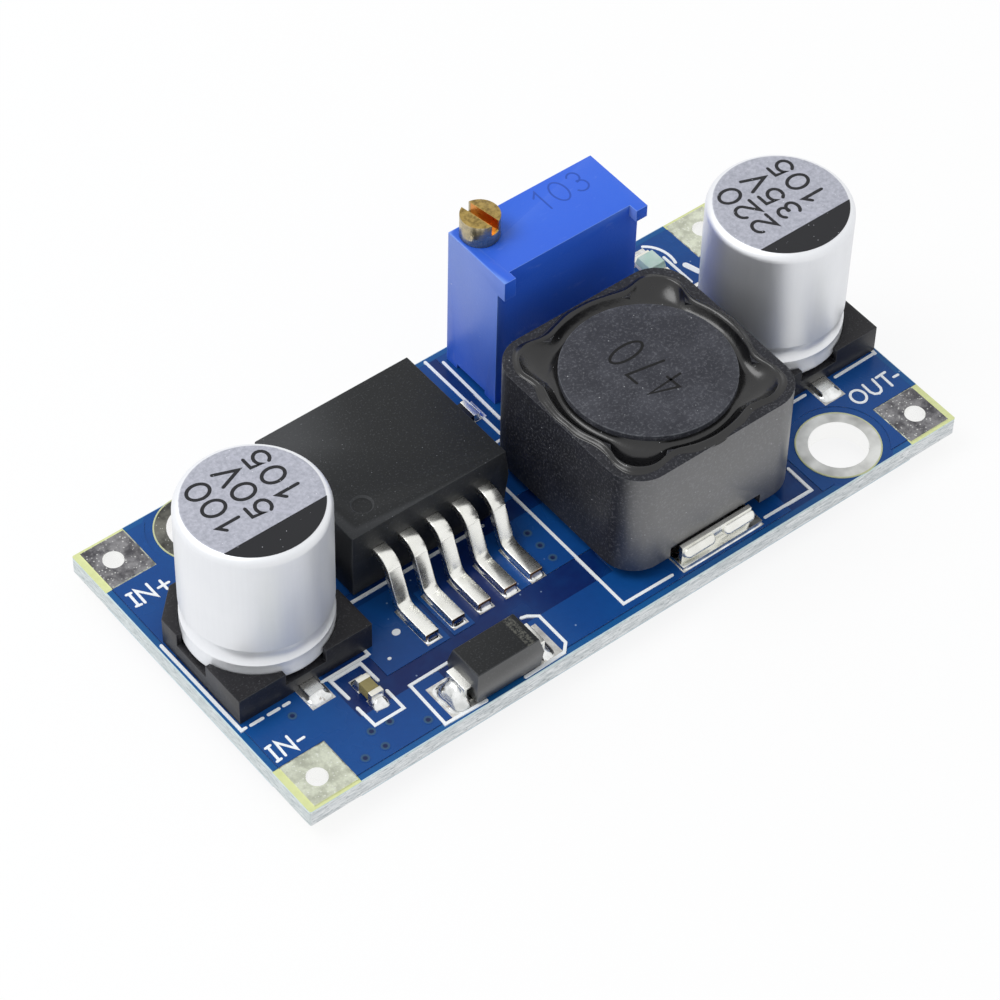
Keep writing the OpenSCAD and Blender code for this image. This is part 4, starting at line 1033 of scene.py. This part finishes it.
class MODULE_OT_trimmer(bpy.types.Operator):
    """Trimmer: blue housing, brass screw, rotor, wiper, element, floor and pins."""

    bl_idname = "module.trimmer"
    bl_label = "Trimmer"

    def execute(self, context):
        blue = trimmer_plastic()
        softened("trimmer_housing", "trimmer_shell", 0.05, 2, blue, 40)
        softened("trimmer_screw", "adjusting_screw_turned", 0.06, 2, screw_brass(), 40,
                 body="adjusting_screw")
        repaint(moulding("potting", linear("2b4a94"), 0.5), "trimmer_floor")
        repaint(plain("alumina", linear("e9e6dd"), 0.5), "trimmer_element")
        repaint(plain("rotor_nylon", linear("ece8dc"), 0.45), "trimmer_rotor")
        repaint(plain("wiper_alloy", linear("c9a550"), 0.25, 1.0), "trimmer_wiper")
        repaint(plain("seal_rubber", linear("17171a"), 0.6), "trimmer_o_ring")
        repaint(bright_tin("pin_tin"), "trimmer_pin_1", "trimmer_pin_2", "trimmer_pin_3")
        low, high = corners("trimmer_housing")
        top = float(high[2])
        print_ink = plain("trimmer_print", linear("2650b4"), 0.45, 0.0, 8.0, 0.01, 0.3)
        lines = words("103", (low[0] + 4.7, high[1] - 1.9), 1.5, (1, 0), 0.85, 1.25)
        strokes("trimmer_value", lines, 0.12, top - 0.02, top + 0.004, print_ink, slot="blue_plastic")
        return {"FINISHED"}


class MODULE_OT_diode(bpy.types.Operator):
    """Diode: moulded body with a cathode band, and folded leads."""

    bl_idname = "module.diode"
    bl_label = "Diode"

    def execute(self, context):
        s = settings("plastic")
        end = float(corners("diode_body")[1][0])
        black = moulding("diode_epoxy", tuple3(s.epoxy), 0.4, 10.0, 0.01, 0.03, 0.9, (end - 0.95, end - 0.45))
        softened("diode_body", "diode_moulding", 0.06, 2, black)
        tin = bright_tin("diode_tin")
        softened("diode_lead_anode", "diode_anode", 0.03, 2, tin, 40)
        softened("diode_lead_cathode", "diode_cathode", 0.03, 2, tin, 40)
        return {"FINISHED"}


class MODULE_OT_chips(bpy.types.Operator):
    """Chip capacitor, chip resistors and the lamp."""

    bl_idname = "module.chips"
    bl_label = "Chip parts"

    def execute(self, context):
        tan = plain("chip_ceramic", linear("8f8456"), 0.35, 0.0, 6.0, 0.01, 0.3)
        black = plain("resistor_glaze", linear("1c1d20"), 0.3)
        silver = plain("end_cap_tin", linear("e6e4da"), 0.22, 1.0, 3.0, 0.008, 0.15)
        softened("chip_cap_body", "chip_cap_block", 0.05, 2, tan)
        softened("chip_cap_ends", "chip_cap_caps", 0.05, 2, silver)
        for name in ("feedback_resistor", "lamp_resistor"):
            softened(f"{name}_body", f"{name}_block", 0.03, 2, black)
            softened(f"{name}_ends", f"{name}_caps", 0.04, 2, silver)
        repaint(plain("lamp_board", linear("efece2"), 0.5), "lamp_base")
        repaint(silver, "lamp_ends")
        softened("lamp_lens", "lamp_window", 0.12, 3, lamp_resin())
        return {"FINISHED"}


def skirt(at, size, reach, rise, bottom):
    """Solder meniscus round a rectangular foot. One parameter goes round the foot's rounded outline, the
    other down a hollow curve from the metal to the land, z = rise * (1 - v) ** 2.2, and back underneath.
    Reach and rise each hold a value towards -X, +X, -Y and +Y, and the outline's direction picks the two
    that apply."""
    turn = np.linspace(0, 2 * np.pi, 73)[:-1]
    power = 0.28
    cx, cy = np.cos(turn), np.sin(turn)
    foot_x = size[0] / 2 * np.sign(cx) * np.abs(cx) ** power
    foot_y = size[1] / 2 * np.sign(cy) * np.abs(cy) ** power
    west, east, south, north = reach
    out_x = np.where(cx > 0, east, west) * np.sign(cx) * np.abs(cx) ** 0.6
    out_y = np.where(cy > 0, north, south) * np.sign(cy) * np.abs(cy) ** 0.6
    w_low, e_low, s_low, n_low = rise
    share = np.abs(cx) ** 2
    height = share * np.where(cx > 0, e_low, w_low) + (1 - share) * np.where(cy > 0, n_low, s_low)
    v = np.linspace(0, 1, 9)
    x = foot_x[:, None] * 0.97 + out_x[:, None] * v[None, :]
    y = foot_y[:, None] * 0.97 + out_y[:, None] * v[None, :]
    z = bottom + 0.012 + height[:, None] * (1 - v[None, :]) ** 2.2
    top = np.stack([x + at[0], y + at[1], z], -1)
    base = top[:, [-1, 0]].copy()
    base[..., 2] = bottom - 0.005
    ring = np.concatenate([top, base], 1)
    return ring.reshape(-1, 3), grid_faces(72, 11, True, True)


def foot(node, axis, end, inset, size, reach, rise):
    """Skirt round the foot at one end of a part: the axis is 0 or 1 for X or Y, the end is -1 or 1, and the
    inset goes from the part's end to the foot's middle. Reach and rise each hold a value for the sides, the
    toe and the heel."""
    low, high = corners(node)
    at = (low + high) / 2
    at[axis] = (low if end < 0 else high)[axis] - end * inset

    def around(values):
        sides, toe, heel = values
        ends = (toe, heel) if end < 0 else (heel, toe)
        return (*ends, sides, sides) if axis == 0 else (sides, sides, *ends)

    return skirt(at, size, around(reach), around(rise), BOARD_TOP)


def mound(at, size, height, bottom, lean=(0.0, 0.0), lumps=0.0):
    """Solder dome. One parameter is the share r of the way out, the other goes round. The height is
    height * (1 - r ** 2.4) ** 0.8, the outline is a rounded oblong, and the middle leans over by (1 - r ** 2)
    times the lean, so that the dome climbs what it wets."""
    share = np.array([0.0, 0.15, 0.3, 0.45, 0.6, 0.72, 0.82, 0.9, 0.96, 1.0, 1.0])
    turn = np.linspace(0, 2 * np.pi, 49)[:-1]
    c, d = np.cos(turn), np.sin(turn)
    ripple = 1 + lumps * (0.5 * np.sin(3 * turn + at[0]) + 0.3 * np.sin(5 * turn + 1.3))
    x = size[0] / 2 * np.sign(c) * np.abs(c) ** 0.8 * ripple
    y = size[1] / 2 * np.sign(d) * np.abs(d) ** 0.8 * ripple
    up = (1 - share ** 2.4) ** 0.8
    z = bottom + height * up[:, None] * (1 + lumps * 0.25 * np.sin(2 * turn + 0.7) * share[:, None])
    z[-1] = bottom - 0.01
    fall = (1 - share ** 2)[:, None]
    px = share[:, None] * x + lean[0] * fall
    py = share[:, None] * y + lean[1] * fall
    points = np.stack([at[0] + px, at[1] + py, z + 0 * px], -1)
    return points.reshape(-1, 3), grid_faces(len(share), 48, wrap_columns=True)


class MODULE_OT_solder(bpy.types.Operator):
    """Solder: a hollow-sided meniscus round each foot, and cones on the trimmer's pins."""

    bl_idname = "module.solder"
    bl_label = "Solder"

    def execute(self, context):
        bright = solder()
        feet = []
        for n in (1, 2, 4, 5):
            low, high = corners(f"regulator_lead_{n}")
            feet.append((low[0], high[0], low[1]))
        feet.append(((feet[1][0] + feet[2][0]) / 2, (feet[1][1] + feet[2][1]) / 2, feet[0][2]))
        blobs = [skirt(((x0 + x1) / 2, toe + 0.95), (x1 - x0, 1.9), (0.06, 0.06, 0.24, 0.1),
                       (0.3, 0.3, 0.42, 0.4), BOARD_TOP) for x0, x1, toe in feet]
        for side in ("in", "out"):
            for end, name in ((-1, "minus"), (1, "plus")):
                blobs.append(foot(f"cap_{side}_terminal_{name}", 1, end, 0.5, (0.9, 1.0),
                                  (0.26, 0.6, 0.1), (0.22, 0.28, 0.28)))
        diode, chip = (0.22, 1.5), (0.82, 0.28)
        blobs.append(foot("diode_lead_anode", 0, -1, 0.1, diode, (0.35, 0.85, 0.05), (0.35, 1.0, 0.1)))
        blobs.append(foot("diode_lead_cathode", 0, 1, 0.1, diode, (0.35, 0.6, 0.05), (0.35, 0.8, 0.1)))
        blobs.append(foot("chip_cap_ends", 1, -1, 0.14, chip, (0.05, 0.5, 0.05), (0.3, 0.5, 0.1)))
        blobs.append(foot("chip_cap_ends", 1, 1, 0.14, chip, (0.05, 0.45, 0.05), (0.3, 0.5, 0.1)))
        for end, name in ((-1, "front"), (1, "back")):
            for part in ("feedback_resistor_ends", "lamp_resistor_ends"):
                blobs.append(foot(part, 0, end, 0.15, (0.3, 1.25), (0.05, 0.42, 0.03), (0.2, 0.4, 0.1)))
            blobs.append(foot("lamp_ends", 1, end, 0.14, (1.25, 0.28), (0.05, 0.35, 0.05),
                              (0.15, 0.25, 0.25)))
            blobs.append(foot(f"inductor_clip_{name}", 1, end, 0.2, (5.4, 0.4), (0.05, 0.1, 0.05),
                              (0.15, 0.2, 0.2)))
        low, high = corners("diode_lead_anode")
        blobs.append(mound((low[0] - 0.1, (low[1] + high[1]) / 2 - 0.1), (1.36, 1.9), 1.0, BOARD_TOP,
                           (0.2, 0.12), 0.12))
        low, high = corners("chip_cap_ends")
        blobs.append(mound(((low[0] + high[0]) / 2 + 0.02, low[1] - 0.18), (0.98, 0.82), 0.42, BOARD_TOP,
                           (0.0, 0.16), 0.12))
        made = piece("solder_menisci", *stacked(blobs), bright, slot="solder", sharp=70)
        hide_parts("solder_joints")
        repaint(bright, "solder_cones")
        return {"FINISHED"}


class MODULE_OT_stage(bpy.types.Operator):
    """White floor and tent, one soft key light and the camera."""

    bl_idname = "module.stage"
    bl_label = "Stage"

    def execute(self, context):
        s = settings("stage")
        scene = context.scene
        scene.view_settings.view_transform = "Standard"
        world = scene.world or bpy.data.worlds.new("tent")
        scene.world = world
        world.use_nodes = True
        world.node_tree.nodes.clear()
        tent = Nodes(world.node_tree)
        rays = tent.node("ShaderNodeLightPath", out=None)
        seen = rays[0].most(rays[3]).most(rays[6])
        white = tent.node("ShaderNodeBackground", None, {"Color": (1, 1, 1), "Strength": 1.0})
        dim = tent.node("ShaderNodeBackground", None, {"Color": (0.96, 0.98, 1.0), "Strength": s.sky})
        tent.node("ShaderNodeOutputWorld", None,
                  {0: tent.node("ShaderNodeMixShader", None, {0: seen, 1: dim, 2: white})}, out=None)

        look = Shader("floor", Base_Color=(0.9, 0.9, 0.9), Roughness=0.9)
        rays = look.node("ShaderNodeLightPath", out=None)
        glow = look.node("ShaderNodeEmission", None, {"Color": (1, 1, 1), "Strength": 1.0})
        seen = (rays[0] * 0.88).most(rays[3] * 0.9)
        own = Wire(look, look.surface.outputs[0])
        blend = look.node("ShaderNodeMixShader", None, {0: seen, 1: own, 2: glow})
        look.join(look.tree.nodes["Material Output"].inputs[0], blend)
        floor_z = CAD_BOX[0][2] - 0.00005
        mesh = bpy.data.meshes.new("floor")
        reach = 1.5
        mesh.from_pydata([(-reach, -reach, floor_z), (reach, -reach, floor_z), (reach, reach, floor_z),
                          (-reach, reach, floor_z)], [], [(0, 1, 2, 3)])
        mesh.materials.append(look.material)
        floor = bpy.data.objects.new("floor", mesh)
        scene.collection.objects.link(floor)

        lamp = bpy.data.lights.new("key", "AREA")
        lamp.shape = "DISK"
        lamp.size = 0.22
        lamp.energy = s.key
        key = bpy.data.objects.new("key", lamp)
        scene.collection.objects.link(key)
        place = Vector((-0.16, 0.1, 0.3))
        key.matrix_world = Matrix.Translation(place) @ place.to_track_quat("Z", "Y").to_matrix().to_4x4()

        azimuth, elevation, roll = (math.radians(a) for a in s.camera_turn)
        out = np.array([math.cos(elevation) * math.cos(azimuth), math.cos(elevation) * math.sin(azimuth),
                        math.sin(elevation)])
        right = np.cross(-out, (0, 0, 1))
        right /= np.linalg.norm(right)
        upward = np.cross(right, -out)
        x_axis = math.cos(roll) * right + math.sin(roll) * upward
        y_axis = -math.sin(roll) * right + math.cos(roll) * upward
        turned = Matrix((x_axis, y_axis, out)).transposed().to_4x4()
        data = bpy.data.cameras.new("camera")
        data.sensor_width = 36
        data.lens = s.lens
        data.clip_start = 0.01
        data.clip_end = 10
        camera = bpy.data.objects.new("camera", data)
        scene.collection.objects.link(camera)
        camera.matrix_world = Matrix.Translation(Vector(s.camera_place) * MM) @ turned
        scene.camera = camera
        return {"FINISHED"}


class MODULE_PT_panel(bpy.types.Panel):
    """Buttons for every piece and the settings that they read."""

    bl_idname = "MODULE_PT_panel"
    bl_label = "Converter module"
    bl_space_type = "VIEW_3D"
    bl_region_type = "UI"
    bl_category = "Module"

    def draw(self, context):
        for operator in OPERATORS:
            self.layout.operator(operator.bl_idname)
        for name, group in GROUPS.items():
            box = self.layout.box()
            box.label(text=name.title())
            for key in group.__annotations__:
                box.prop(settings(name), key)


GROUPS = {"board": BoardSettings, "metal": MetalSettings, "plastic": PlasticSettings, "stage": StageSettings}
OPERATORS = [
    MODULE_OT_stage, MODULE_OT_board, MODULE_OT_board_print, MODULE_OT_cans, MODULE_OT_bases,
    MODULE_OT_regulator, MODULE_OT_inductor, MODULE_OT_trimmer, MODULE_OT_diode, MODULE_OT_chips,
    MODULE_OT_solder,
]


def register():
    for group in GROUPS.values():
        bpy.utils.register_class(group)
    for operator in OPERATORS:
        bpy.utils.register_class(operator)
    bpy.utils.register_class(MODULE_PT_panel)
    for name, group in GROUPS.items():
        setattr(bpy.types.Scene, "module_" + name, PointerProperty(type=group))


def unregister():
    for name in GROUPS:
        delattr(bpy.types.Scene, "module_" + name)
    bpy.utils.unregister_class(MODULE_PT_panel)
    for operator in reversed(OPERATORS):
        bpy.utils.unregister_class(operator)
    for group in reversed(list(GROUPS.values())):
        bpy.utils.unregister_class(group)


def main():
    register()
    for operator in OPERATORS:
        group, name = operator.bl_idname.split(".")
        getattr(getattr(bpy.ops, group), name)()


if __name__ == "__main__":
    main()
